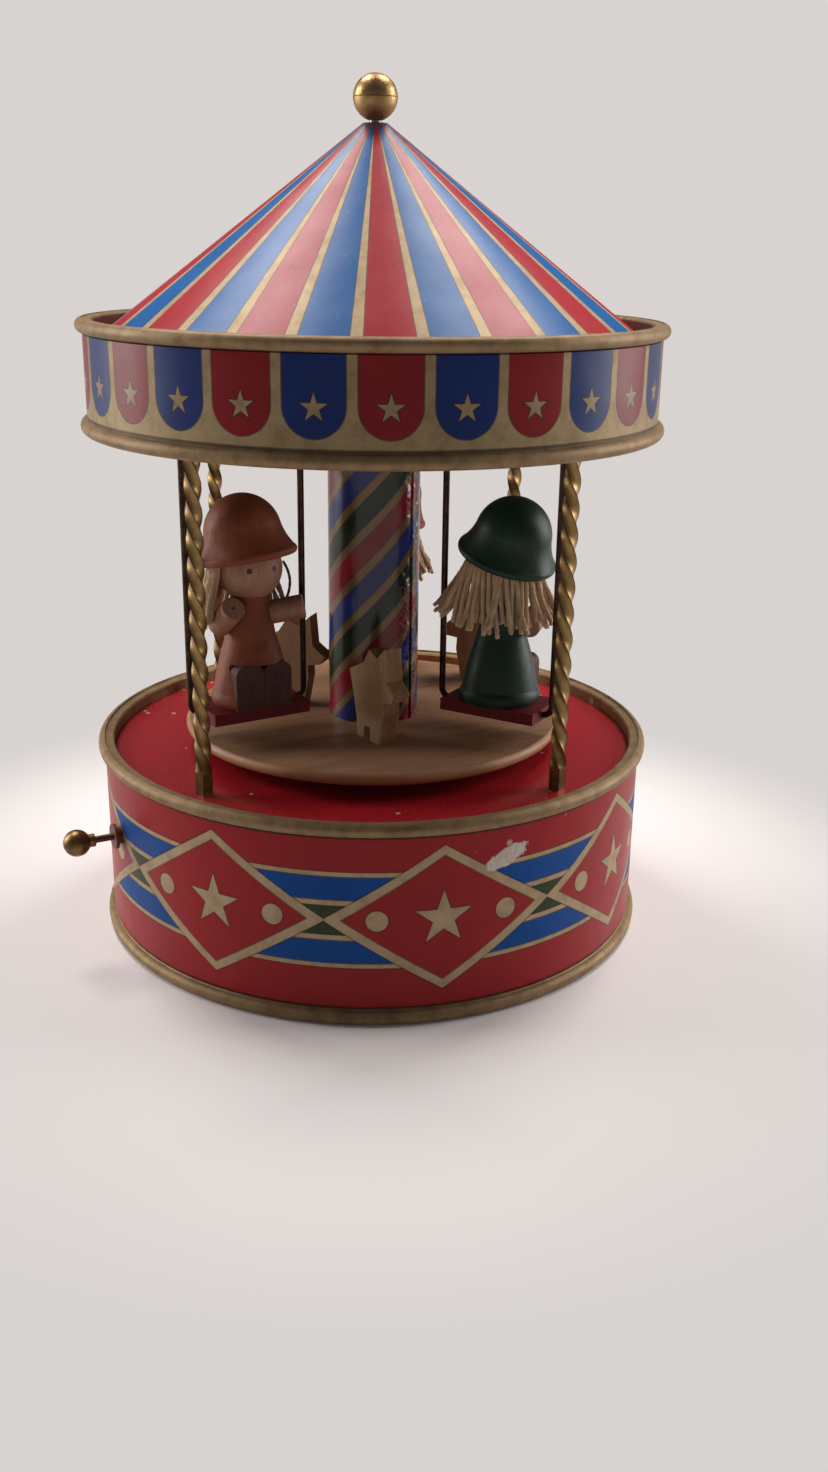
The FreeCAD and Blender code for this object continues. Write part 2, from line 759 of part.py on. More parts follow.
def cylinder_group():
    """Pinned brass cylinder, and its shaft with the crown pinion and the governor's driving wheel."""
    axis = float(S["cylinder_axis"])
    start, end = float(S["cylinder_start"]), float(S["cylinder_end"])
    radius = float(S["cylinder_radius"])
    lay_down = Placement(Vector(0, 0, axis), Rotation(Vector(0, 1, 0), -90))
    drum = Part.makeCylinder(radius, end - start, Vector(0, 0, start))
    drum = drum.cut(Part.makeCylinder(0.9, end - start, Vector(0, 0, start)))
    pins = []
    golden = 137.5
    for i in range(48):
        place = Vector(radius - 0.3, 0, start + 1.3 + (end - start - 2.6) * ((i * 5) % 16) / 15.0)
        pin = Part.makeBox(0.8, 0.5, 0.5, place)
        pin.rotate(Vector(0, 0, 0), Vector(0, 0, 1), i * golden)
        pins.append(pin)
    feature("music_cylinder", drum.fuse(pins), lay_down)

    shaft = Part.makeCylinder(0.9, 32.2, Vector(0, 0, 13.4))
    pinion_pitch = float(S["crown_radius"] * S["pinion_teeth"] / S["crown_teeth"])
    pinion = toothed_ring(int(S["pinion_teeth"]), pinion_pitch - 0.7, pinion_pitch, pinion_pitch + 0.35,
                          13.5, 2.4, 0.34)
    gear_middle, gear_pitch = float(S["gear_middle"]), float(S["gear_radius"])
    gear = toothed_ring(int(S["gear_teeth"]), gear_pitch - 0.7, gear_pitch, gear_pitch + 0.35,
                        gear_middle - 0.7, 1.4, 0.34)
    hub = Part.makeCylinder(2.2, 1.6, Vector(0, 0, gear_middle - 2.2))
    feature("cylinder_gears", shaft.fuse([pinion, gear, hub]), lay_down)


def governor_group():
    """Single-start worm on a fine spindle with the fly: a brake rim over crossed vanes."""
    x, y = -float(S["gear_middle"]), float(S["gear_radius"] + S["worm_radius"])
    bed, axis = float(S["bedplate_top"]), float(S["cylinder_axis"])
    fly = float(S["governor_height"])
    pitch_radius = float(S["worm_radius"])
    lead = 2 * math.pi * float(S["gear_radius"]) / float(S["gear_teeth"])
    root = pitch_radius - 0.45
    pivot = Part.makeCylinder(0.6, fly + 4.3 - bed, Vector(0, 0, bed))
    core = Part.makeCylinder(root, fly + 2.2 - bed - 1.6, Vector(0, 0, bed + 1.6))
    turns = 4.0
    start = axis - lead * (turns / 2 + 0.25)
    helix = Part.makeHelix(lead, lead * turns, root)
    helix.translate(Vector(0, 0, start))
    section = Part.makePolygon([
        Vector(root - 0.2, 0, start - 0.38),
        Vector(pitch_radius + 0.3, 0, start - 0.13),
        Vector(pitch_radius + 0.3, 0, start + 0.13),
        Vector(root - 0.2, 0, start + 0.38),
        Vector(root - 0.2, 0, start - 0.38),
    ])
    thread = Part.Wire(helix.Edges).makePipeShell([section], True, True)
    worm = fused([pivot, core]).fuse(thread)
    rim = float(S["brake_radius"])
    disc = Part.makeCylinder(rim, 0.8, Vector(0, 0, fly - 0.4))
    vanes = [block(-0.3, 0.3, -rim + 0.4, rim - 0.4, fly - 2.6, fly - 0.3),
             block(-rim + 0.4, rim - 0.4, -0.3, 0.3, fly - 2.6, fly - 0.3)]
    feature("governor", worm.fuse([disc] + vanes), Placement(Vector(x, y, 0), Rotation()))


# ---------------------------------------------------------------- turning group

def spring_barrel():
    """Brass barrel with the crown wheel round its foot, open in the middle for the arbor."""
    bottom, top = float(S["barrel_bottom"]), float(S["barrel_top"])
    radius = float(S["barrel_radius"])
    bore = float(S["arbor_radius"] + S["running_clearance"])
    shell = Part.makeCylinder(radius, top - bottom, Vector(0, 0, bottom))
    flange = Part.makeCylinder(float(S["crown_radius"]) + 1.3, 0.8, Vector(0, 0, bottom))
    room = Part.makeCylinder(radius - 0.8, top - bottom - 2.0, Vector(0, 0, bottom + 1.0))
    shape = fused([shell, flange]).cut(room)
    shape = shape.cut(Part.makeCylinder(bore, 2.0, Vector(0, 0, bottom - 0.5)))
    count = int(S["crown_teeth"])
    width = 2 * math.pi * float(S["crown_radius"]) / count * 0.35
    mesh_height = float(S["cylinder_axis"] - S["crown_radius"] * S["pinion_teeth"] / S["crown_teeth"])
    teeth = []
    crown = float(S["crown_radius"])
    tip, foot = mesh_height + 0.35, bottom + 0.7
    for i in range(count):
        section = Part.makePolygon([
            Vector(crown - 1.1, -width / 2, foot),
            Vector(crown - 1.1, width / 2, foot),
            Vector(crown - 1.1, width / 4, tip),
            Vector(crown - 1.1, -width / 4, tip),
            Vector(crown - 1.1, -width / 2, foot),
        ])
        tooth = Part.Face(section).extrude(Vector(2.2, 0, 0))
        tooth.rotate(Vector(0, 0, 0), Vector(0, 0, 1), 180.0 + 360.0 / count * (i + 0.5))
        teeth.append(tooth)
    feature("spring_barrel", shape.fuse(teeth))


def mainspring():
    """Coiled steel strip, drawn as half circles that step outwards."""
    thickness, gap = 0.45, 1.0
    inner = float(S["arbor_radius"]) + 0.6
    outer = float(S["barrel_radius"]) - 1.3
    low = float(S["barrel_bottom"]) + 1.5
    high = float(S["barrel_top"]) - 1.6
    front, back = [], []
    radius, centre, side = inner, 0.0, 1
    while radius + gap < outer:
        for line, edge in ((front, radius), (back, radius + thickness)):
            line.append(Part.Arc(Vector(centre + side * edge, 0, low),
                                 Vector(centre, side * edge, low),
                                 Vector(centre - side * edge, 0, low)).toShape())
        radius += gap / 2
        centre += side * gap / 2
        side = -side
    start_cap = Part.LineSegment(front[0].Vertexes[0].Point, back[0].Vertexes[0].Point).toShape()
    end_cap = Part.LineSegment(front[-1].Vertexes[-1].Point, back[-1].Vertexes[-1].Point).toShape()
    loop = Part.Wire(Part.__sortEdges__(front + [end_cap] + back + [start_cap]))
    feature("mainspring", Part.Face(loop).extrude(Vector(0, 0, high - low)))


def output_spindle():
    """The long spindle: a shoulder on the barrel, the turntable's flange, and a pivot at the roof."""
    body = new_body("output_spindle")
    radius, flange = S["spindle_radius"], S["turntable_bottom"]
    base = S["barrel_top"]
    revolve(body, [
        (0.0, base),
        (radius * 2, base),
        (radius * 2, base + 2),
        (radius, base + 2),
        (radius, flange - 2.2),
        (radius * 4, flange - 2.2),
        (radius * 4, flange),
        (radius, flange),
        (radius, S["spindle_top"] - 4),
        (S["pivot_radius"], S["spindle_top"] - 4),
        (S["pivot_radius"], S["spindle_top"]),
        (0.0, S["spindle_top"]),
    ])


def turntable():
    """Turned wooden disc with a rounded edge."""
    body = new_body("turntable")
    edge, low, high = S["turntable_radius"], S["turntable_bottom"], S["turntable_top"]
    middle = (low + high) / 2
    revolve(body, [
        (S["spindle_radius"], low),
        (edge - 1.0, low),
        (edge - 1.0, high, edge, middle),
        (S["spindle_radius"], high),
    ])


def center_column():
    """Lapped tin tube round the spindle, closed by a spun cap."""
    body = new_body("center_column", turned(S["seam_angle"]))
    radius, low, high, tin = S["tube_radius"], S["turntable_top"], S["tube_top"], S["tin"]
    revolve(body, [
        (radius - tin, low),
        (radius, low),
        (radius, high),
        (S["spindle_radius"], high),
        (S["spindle_radius"], high - tin),
        (radius - tin, high - tin),
    ])
    seam = [(radius - 0.2, -2.0), (radius + 0.35, -2.0), (radius + 0.35, 0.6), (radius - 0.2, 0.6)]
    pad(body, lambda sketch: outline(sketch, seam), high - low, low, name="seam")


def swing_carrier():
    """Hub with three radial rods: each swing hangs from one of them."""
    low = float(S["tube_top"])
    height = float(S["hanger_height"])
    bore = Part.makeCylinder(float(S["spindle_radius"]), 20.0, Vector(0, 0, low - 5))
    shapes = [Part.makeCylinder(9.0, 4.2, Vector(0, 0, low))]
    reach = float(S["hanger_reach"])
    for name in SWING_ANGLES:
        rod = Part.makeCylinder(float(S["hanger_radius"]), reach, Vector(0, 0, 0), Vector(1, 0, 0))
        keeper = cylinder(S["hanger_radius"] + 0.9, Vector(reach, 0, 0), Vector(reach + 0.8, 0, 0))
        arm = rod.fuse(keeper)
        arm.Placement = Placement(Vector(0, 0, height), Rotation(Vector(0, 0, 1), float(S[name])))
        shapes.append(arm)
    feature("swing_carrier", fused(shapes).cut(bore))


DOG_PROFILE = (
    (0.0, 0.0), (0.9, 5.0), (1.6, 8.5), (1.4, 12.0), (5.2, 12.6), (6.4, 14.8), (2.9, 17.6),
    (2.2, 26.0), (-1.2, 23.0), (-4.8, 24.6), (-7.6, 20.4), (-14.4, 17.2), (-13.2, 13.8),
    (-10.8, 4.6), (-10.6, 0.0), (-7.6, 0.0), (-7.2, 3.4), (-4.4, 3.6), (-4.2, 0.0),
)


def dog(label, x, y, heading):
    """Flat sawn dog with pricked ears; its front foot is at the origin of its profile."""
    place = Placement(Vector(x, y, float(S["turntable_top"])), Rotation(Vector(0, 0, 1), heading))
    body = new_body(label, place)
    pad(body, lambda sketch: outline(sketch, list(DOG_PROFILE)), S["dog_thickness"],
        role="XZ_Plane", midplane=True)


# ---------------------------------------------------------------- swings and dolls

SWING_ANGLES = ("swing_angle_one", "swing_angle_two", "swing_angle_three")


def swing_wire(number, angle):
    """U-shaped wire with an eye round the hanger rod at each end."""
    inner, outer = float(S["wire_inner"]), float(S["wire_outer"])
    bottom, hanger = float(S["wire_bottom"]), float(S["hanger_height"])
    radius = float(S["wire_radius"])
    eye_inner = float(S["hanger_radius"] + S["running_clearance"])
    eye_outer = eye_inner + 1.2
    wire = bent_bar([Vector(inner, 0, hanger - eye_inner - 0.5), Vector(inner, 0, bottom),
                     Vector(outer, 0, bottom), Vector(outer, 0, hanger - eye_inner - 0.5)],
                    float(S["wire_bend"]), radius)
    eyes = []
    for x in (inner, outer):
        ring = cylinder(eye_outer, Vector(x - 1.1, 0, hanger), Vector(x + 1.1, 0, hanger))
        eyes.append(ring.cut(cylinder(eye_inner, Vector(x - 2, 0, hanger), Vector(x + 2, 0, hanger))))
    feature(f"swing_wire_{number}", wire.fuse(eyes), turned(angle))


def seat(number, angle):
    """Red board, bored lengthwise for the wire."""
    board = new_body(f"seat_{number}", turned(angle))
    pad(board, lambda sketch: outline(
        sketch, rectangle(S["seat_inner"], S["seat_outer"], -S["seat_back"], S["seat_front"])),
        S["seat_top"] - S["seat_bottom"], S["seat_bottom"])
    pocket(board, lambda sketch: circles(sketch, [(0.0, S["wire_bottom"], S["wire_radius"])]),
           S["seat_outer"] * 2, name="bore", role="YZ_Plane")


def doll_place(angle, height=0.0, tilt=None):
    """The doll's own axis, standing on its seat, at a height above the object's foot."""
    place = turned(angle, Vector(float(S["doll_radius"]), float(S["doll_forward"]), float(height)))
    return place.multiply(Placement(Vector(0, 0, 0), tilt)) if tilt else place


def doll_body(number, angle):
    """Turned bell-shaped body."""
    body = new_body(f"doll_body_{number}", doll_place(angle, S["seat_top"]))
    widest, neck = S["body_radius"], S["body_height"]
    revolve(body, [
        (0.0, 0.0),
        (widest - 0.4, 0.0),
        (widest - 0.6, neck * 0.13, widest, neck * 0.03),
        (widest * 0.63, neck * 0.6, widest * 0.81, neck * 0.37),
        (widest * 0.46, neck, widest * 0.52, neck * 0.82),
        (0.0, neck),
    ])
    half = S["shoe_width"] + 0.1
    notch_back = S["shoe_front"] - S["shoe_depth"]
    pocket(body, lambda sketch: outline(sketch, rectangle(-half, half, notch_back, widest + 2)),
           S["shoe_height"], name="shoe_notch")


def doll_head(number, angle):
    """Turned ball, let down over the neck."""
    ball = doc.addObject("Part::Sphere", f"doll_ball_{number}")
    bind(ball, Radius=S["head_radius"])
    ball.Placement = Placement(Vector(0, 0, float(S["head_height"] - S["seat_top"])), Rotation())
    neck = doc.addObject("Part::Cylinder", f"doll_neck_{number}")
    bind(neck, Radius=S["body_radius"], Height=S["body_height"])
    head = doc.addObject("Part::Cut", f"doll_head_{number}")
    head.Base = ball
    head.Tool = neck
    keep(head, f"doll_head_{number}", doll_place(angle, S["seat_top"]))


def doll_hat(number, angle, tilt):
    """Turned bell hat, hollowed to sit on the ball."""
    height, brim = S["hat_height"], S["hat_radius"]
    pivot = float(S["head_height"])
    hat = new_body(f"doll_hat_{number}", doll_place(angle, pivot, tilt))
    low = 2.0
    inside = S["head_radius"] + 0.05
    dome = brim * 0.77
    dome_middle = height + low - dome
    crown, waist, between = (
        (dome * math.sin(math.radians(a)), dome_middle + dome * math.cos(math.radians(a)))
        for a in (5.0, 84.0, 44.5))
    revolve(hat, [
        (0.0, crown[1]),
        crown,
        waist + between,
        (brim * 0.96, height * 0.13 + low, brim * 0.835, height * 0.3 + low),
        (brim * 0.93, low, brim, height * 0.05 + low),
        (inside * 1.01, low),
        (inside * 0.95, inside * 0.44),
        (inside * 0.76, inside * 0.73),
        (inside * 0.46, inside * 0.94),
        (0.0, inside * 1.02),
    ])


def doll_arms(number, angle, outer_rise, inner_turn):
    """Two dowels at the shoulders: the outer one reaches forward, the inner one towards the wire."""
    radius = float(S["arm_radius"])
    shoulder = 86.2
    outer = Part.makeCylinder(radius, 9.6, Vector(8.1, -1.2, shoulder),
                              Vector(-0.1, 1.0, math.tan(math.radians(outer_rise))))
    inner = Part.makeCylinder(radius, 8.6, Vector(-5.0, 1.8, shoulder + 2.6),
                              Vector(-math.sin(math.radians(inner_turn)),
                                     math.cos(math.radians(inner_turn)), 0.2))
    arms = joined([outer, inner])
    arms.Placement = doll_place(angle)
    doc.recompute()
    bell = next(item for item in SUBPARTS if item.Label == f"doll_body_{number}")
    feature(f"doll_arms_{number}", arms.cut(bell.Shape))


def doll_shoes(number, angle):
    """Two wooden blocks with rounded tops, standing on the seat in front of the body."""
    width, depth, height = float(S["shoe_width"]), float(S["shoe_depth"]), float(S["shoe_height"])
    front = float(S["shoe_front"])
    bottom = float(S["seat_top"])
    shoes = []
    for left in (-width - 0.05, 0.05):
        box = block(left, left + width, front - depth, front, bottom, bottom + height)
        across = [e for e in box.Edges
                  if abs(e.CenterOfMass.z - bottom - height) < 0.01
                  and abs(e.CenterOfMass.x - left - width / 2) > 0.1]
        shoes.append(box.makeFillet(2.4, across))
    feature(f"doll_shoes_{number}", joined(shoes), doll_place(angle))


def doll_hair(number, angle):
    """The soft yarn as a plain skirt round the back of the head."""
    hair = new_body(f"doll_hair_{number}", turned_back(angle))
    inner = S["head_radius"] + 0.25
    top = S["head_height"]
    revolve(hair, [
        (inner, top - 15.6),
        (inner + 4.6, top - 15.2),
        (inner + 2.4, top - 6.0),
        (inner + 1.6, top - 3.4),
        (inner, top - 3.4),
    ], angle=130.0)


def turned_back(angle):
    """The doll's axis with the profile plane turned to the back of the head."""
    return doll_place(angle).multiply(Placement(Vector(0, 0, 0), Rotation(Vector(0, 0, 1), -90)))


def swing(number, angle, hat_tilt, outer_rise, inner_turn):
    swing_wire(number, angle)
    seat(number, angle)
    doll_body(number, angle)
    doll_head(number, angle)
    doll_hat(number, angle, hat_tilt)
    doll_arms(number, angle, outer_rise, inner_turn)
    doll_shoes(number, angle)
    doll_hair(number, angle)


# ---------------------------------------------------------------- the whole toy

base_drum()
base_top_plate()
base_bottom_plate()
movement_bedplate()
movement_screws()
music_comb()
cylinder_brackets()
governor_bracket()
output_bush()
stop_grommet()
for index in range(4):
    twisted_column(f"column_{index + 1}", S["column_first_angle"] + 90.0 * index)
column_washers()
canopy_band()
canopy_floor()
canopy_roof()
finial()
winding_key_group()
stop_group()
cylinder_group()
governor_group()
spring_barrel()
mainspring()
output_spindle()
turntable()
center_column()
swing_carrier()
dog("dog_1", -9.3, -26.9, -84.0)
dog("dog_2", 39.2, 18.0, 133.0)
dog("dog_3", -14.5, 12.7, -46.0)
swing(1, S["swing_angle_one"],
      Rotation(Vector(0, 1, 0), 5.0).multiply(Rotation(Vector(1, 0, 0), 9.5)), 39.0, 60.0)
swing(2, S["swing_angle_two"],
      Rotation(Vector(0, 1, 0), 17.0).multiply(Rotation(Vector(1, 0, 0), 3.5)), 11.0, 42.0)
swing(3, S["swing_angle_three"],
      Rotation(Vector(0, 1, 0), 4.0).multiply(Rotation(Vector(1, 0, 0), 14.0)), 30.0, 50.0)

doc.recompute()

for item in doc.Objects:
    if "Invalid" in item.State or "Error" in item.State:
        raise RuntimeError(f"{item.Label} failed: {item.State}")
for item in SUBPARTS:
    if item.Shape.isNull() or not item.Shape.isValid() or item.Shape.Volume <= 0:
        raise RuntimeError(f"{item.Label} has no valid shape")

os.makedirs("parts", exist_ok=True)
for item in SUBPARTS:
    item.Shape.exportStep(f"parts/{item.Label}.step")
print(f"{len(SUBPARTS)} sub-parts")
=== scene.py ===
import math
import random

import bpy
from mathutils import Matrix, Vector


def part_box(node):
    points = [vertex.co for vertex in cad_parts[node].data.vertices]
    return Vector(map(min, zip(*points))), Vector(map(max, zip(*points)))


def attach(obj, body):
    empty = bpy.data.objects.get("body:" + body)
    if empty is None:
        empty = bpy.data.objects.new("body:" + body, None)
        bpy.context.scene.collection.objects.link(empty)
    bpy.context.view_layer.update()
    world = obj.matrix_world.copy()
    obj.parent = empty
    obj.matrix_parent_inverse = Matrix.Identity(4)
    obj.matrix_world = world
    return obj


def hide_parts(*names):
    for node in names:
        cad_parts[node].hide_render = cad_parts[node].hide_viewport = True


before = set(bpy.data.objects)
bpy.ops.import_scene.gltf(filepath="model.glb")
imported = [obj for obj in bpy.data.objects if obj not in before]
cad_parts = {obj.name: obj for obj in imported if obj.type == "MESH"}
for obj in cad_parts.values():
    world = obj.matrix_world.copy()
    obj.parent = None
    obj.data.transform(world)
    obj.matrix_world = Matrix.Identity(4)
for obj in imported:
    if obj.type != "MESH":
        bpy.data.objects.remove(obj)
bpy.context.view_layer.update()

# The swings and their dolls, in degrees about the turntable's axis and in millimetres.
SWING_ANGLES = {1: -176.7, 2: -57.7, 3: 57.5}
DOLL_RADIUS, DOLL_FORWARD = 37.7, 2.2
HEAD_HEIGHT, HEAD_RADIUS = 100.7, 8.5
MM = 0.001

# Places on the tin, turntable and dogs in millimetres, and print repeats, as the part has them.
BASE_ARC, BAND_ARC = 1.281, 1.269           # length along the wall of one degree
BASE_PRINT_MIDDLE = 27.6
BAND_STAR_HEIGHT = 146.05
STRIPES = 28                                # round the canopy's band and roof
ROOF_TOP, ROOF_TIP, ROOF_SLOPE = 206.0, 3.0, 0.7588
TUBE_SEAM = 53.5                            # degrees before the x axis
TUBE_RISE = 0.2225                          # of the spiral stripes, per degree
TUBE_PITCH = 10.0
TURNTABLE_TOP = 56.0


# ---------------------------------------------------------------- colours and material nodes

def srgb(red, green, blue):
    """An sRGB colour out of 255 as the linear colour that shaders take."""
    return tuple((c / 12.92 if c <= 0.04045 else ((c + 0.055) / 1.055) ** 2.4)
                 for c in (red / 255, green / 255, blue / 255)) + (1.0,)


def darker(colour, share):
    """The colour with its light cut down to a share."""
    return tuple(c * share for c in colour[:3]) + (1.0,)


class Field:
    """A value that varies over a surface: one socket of a material's nodes, with arithmetic."""

    def __init__(self, paint, socket):
        self.paint = paint
        self.socket = socket

    def __add__(self, other):
        return self.paint.math("ADD", self, other)

    def __sub__(self, other):
        return self.paint.math("SUBTRACT", self, other)

    def __mul__(self, other):
        return self.paint.math("MULTIPLY", self, other)

    def __truediv__(self, other):
        return self.paint.math("DIVIDE", self, other)

    def __neg__(self):
        return self.paint.math("MULTIPLY", self, -1.0)

    def __abs__(self):
        return self.paint.math("ABSOLUTE", self)


class Paint:
    """A material being made: it reads the surface's place in millimetres and feeds one shader."""

    def __init__(self, name):
        self.material = bpy.data.materials.new(name)
        self.material.use_nodes = True
        self.tree = self.material.node_tree
        self.shader = self.tree.nodes["Principled BSDF"]
        coordinates = self.node("ShaderNodeTexCoord")
        scale = self.node("ShaderNodeVectorMath", operation="SCALE")
        scale.inputs["Scale"].default_value = 1000.0
        self.link(coordinates.outputs["Object"], scale.inputs[0])
        self.place = scale.outputs[0]
        parts = self.node("ShaderNodeSeparateXYZ")
        self.link(self.place, parts.inputs[0])
        self.x, self.y, self.z = (Field(self, parts.outputs[i]) for i in range(3))

    def node(self, kind, **settings):
        made = self.tree.nodes.new(kind)
        for key, value in settings.items():
            setattr(made, key, value)
        return made

    def link(self, start, end):
        self.tree.links.new(start, end)

    def feed(self, value, socket):
        """Put a field, a socket or a plain value on a socket."""
        if isinstance(value, Field):
            self.link(value.socket, socket)
        elif isinstance(value, bpy.types.NodeSocket):
            self.link(value, socket)
        else:
            socket.default_value = value

    def math(self, operation, first, second=None, third=None):
        made = self.node("ShaderNodeMath", operation=operation)
        for value, socket in zip((first, second, third), made.inputs):
            if value is not None:
                self.feed(value, socket)
        return Field(self, made.outputs[0])

    def angle(self):
        """Degrees about the vertical axis, from -180 to 180."""
        return self.math("ARCTAN2", self.y, self.x) * (180 / math.pi)

    def length(self, *parts):
        total = parts[0] * parts[0]
        for part in parts[1:]:
            total = total + part * part
        return self.math("SQRT", total)

    def wrap(self, value, half):
        """The value brought between -half and half by whole steps."""
        return self.math("WRAP", value, half, -half)

    def smallest(self, first, second):
        return self.math("MINIMUM", first, second)

    def largest(self, first, second):
        return self.math("MAXIMUM", first, second)

    def inside(self, distance, soft=0.1):
        """1 where a signed distance is below zero, 0 above, over a soft edge."""
        made = self.node("ShaderNodeMapRange", interpolation_type="SMOOTHSTEP")
        self.feed(distance, made.inputs["Value"])
        limits = {"From Min": -soft, "From Max": soft, "To Min": 1.0, "To Max": 0.0}
        for name, value in limits.items():
            made.inputs[name].default_value = value
        return Field(self, made.outputs[0])

    def rise(self, value, low, high):
        """0 below low, 1 above high."""
        made = self.node("ShaderNodeMapRange", interpolation_type="SMOOTHSTEP")
        self.feed(value, made.inputs["Value"])
        made.inputs["From Min"].default_value = low
        made.inputs["From Max"].default_value = high
        return Field(self, made.outputs[0])

    def stretch(self, scale, turn=(0, 0, 0)):
        """The surface's place scaled per axis, so that a texture runs along one of them."""
        made = self.node("ShaderNodeMapping")
        self.link(self.place, made.inputs["Vector"])
        made.inputs["Scale"].default_value = scale
        made.inputs["Rotation"].default_value = turn
        return made.outputs[0]

    def noise(self, size, detail=3.0, rough=0.5, vector=None, distortion=0.0):
        """Noise from 0 to 1 whose blotches are about size millimetres."""
        made = self.node("ShaderNodeTexNoise")
        self.link(vector if vector is not None else self.place, made.inputs["Vector"])
        made.inputs["Scale"].default_value = 1.0 / size
        made.inputs["Detail"].default_value = detail
        made.inputs["Roughness"].default_value = rough
        made.inputs["Distortion"].default_value = distortion
        return Field(self, made.outputs["Fac"])

    def specks(self, size, threshold, vector=None):
        """Sparse round specks: the middles of some of the cells of a grid."""
        made = self.node("ShaderNodeTexVoronoi")
        self.link(vector if vector is not None else self.place, made.inputs["Vector"])
        made.inputs["Scale"].default_value = 1.0 / size
        parts = self.node("ShaderNodeSeparateColor")
        self.link(made.outputs["Color"], parts.inputs[0])
        chosen = self.rise(Field(self, parts.outputs[0]), threshold, threshold + 0.02)
        width = Field(self, parts.outputs[1]) * 0.16 + 0.05
        return chosen * self.inside(Field(self, made.outputs["Distance"]) - width, 0.03)

    def mix(self, share, first, second):
        """The first colour where share is 0, the second where it is 1."""
        made = self.node("ShaderNodeMix", data_type="RGBA")
        self.feed(share, made.inputs[0])
        self.feed(first, made.inputs[6])
        self.feed(second, made.inputs[7])
        return made.outputs[2]

    def finish(self, colour, roughness=0.5, metallic=0.0, bumps=(), **plain):
        """Feed the shader: bumps are fields and heights in millimetres, plain is other sockets."""
        self.feed(colour, self.shader.inputs["Base Color"])
        self.feed(roughness, self.shader.inputs["Roughness"])
        self.feed(metallic, self.shader.inputs["Metallic"])
        normal = None
        for field, height in bumps:
            bump = self.node("ShaderNodeBump")
            bump.inputs["Distance"].default_value = height * MM
            self.feed(field, bump.inputs["Height"])
            if normal is not None:
                self.link(normal, bump.inputs["Normal"])
            normal = bump.outputs[0]
        if normal is not None:
            self.link(normal, self.shader.inputs["Normal"])
        for name, value in plain.items():
            self.shader.inputs[name.replace("_", " ")].default_value = value
        return self.material


RED = srgb(156, 26, 32)
BLUE = srgb(14, 76, 146)
GREEN = srgb(42, 60, 28)
GOLD = srgb(174, 152, 120)
OLD_GOLD = (srgb(144, 120, 88), srgb(120, 94, 64))
# Printed outlines, and painted shade in the bead grooves.
OUTLINE_AND_SHADE = srgb(44, 22, 18)
CHIP = srgb(222, 212, 200)
TIN = srgb(150, 148, 142)
TARNISH = srgb(62, 44, 28)


# ---------------------------------------------------------------- printed tin

def star(p, across, up, radius):
    """Signed distance to a five-pointed star with one point up."""
    half = math.radians(36)
    notch = 0.382 * radius
    rise, run = notch * math.sin(half), radius - notch * math.cos(half)
    size = math.hypot(rise, run)
    reach = p.length(across, up)
    turn = abs(p.wrap(p.math("ARCTAN2", across, up), half))
    along = reach * p.math("COSINE", turn) * (rise / size)
    aside = reach * p.math("SINE", turn) * (run / size)
    return along + aside - radius * rise / size


def diamond(across, up, half_width, half_height):
    """Signed distance to a diamond, near its sides."""
    scale = half_width * half_height / math.hypot(half_width, half_height)
    return (abs(across) / half_width + abs(up) / half_height - 1.0) * scale


def print_layers(p, ground, layers, line=0.16):
    """Lay flat colours over a ground, each edged with a thin dark printed line."""
    colour = ground
    for distance, ink in layers:
        colour = p.mix(p.inside(abs(distance) - line, 0.1) * 0.8, colour, OUTLINE_AND_SHADE)
        colour = p.mix(p.inside(distance + line * 0.5, 0.08), colour, ink)
    return colour


def gold_ink(p, bright=GOLD, dull=srgb(152, 128, 98)):
    """Dull gold lacquer, a little mottled."""
    return p.mix(p.rise(p.noise(4.0, 5.0, 0.65), 0.35, 0.75), bright, dull)


def worn_bead(p, colour, share):
    """Gold paint of the rolled beads, rubbed and pitted where share is 1."""
    rubbed = p.rise(p.noise(1.1, 6.0, 0.7), 0.6, 0.7) * p.rise(p.noise(9.0, 3.0), 0.42, 0.62)
    bead = p.mix(rubbed * 0.8, gold_ink(p, *OLD_GOLD), TARNISH)
    return p.mix(share, colour, bead)


def tin_finish(p, colour, gold_share, gloss=0.3):
    """Lacquered sheet: gloss with fine scratches, soft dents and a duller gold."""
    slanting = p.stretch((0.1, 0.1, 1.6), (0.4, 0.2, 0))
    scratches = p.rise(p.noise(0.5, 2.0, 0.5, slanting), 0.66, 0.72)
    smears = p.noise(14.0, 4.0, 0.6)
    roughness = gold_share * 0.16 + smears * 0.14 + gloss
    return p.finish(colour, roughness=roughness, metallic=gold_share * 0.35,
                    bumps=((p.noise(26.0, 2.0), 0.5), (p.noise(0.8, 3.0, 0.6), 0.012),
                           (scratches, 0.01)),
                    Specular_IOR_Level=0.18)


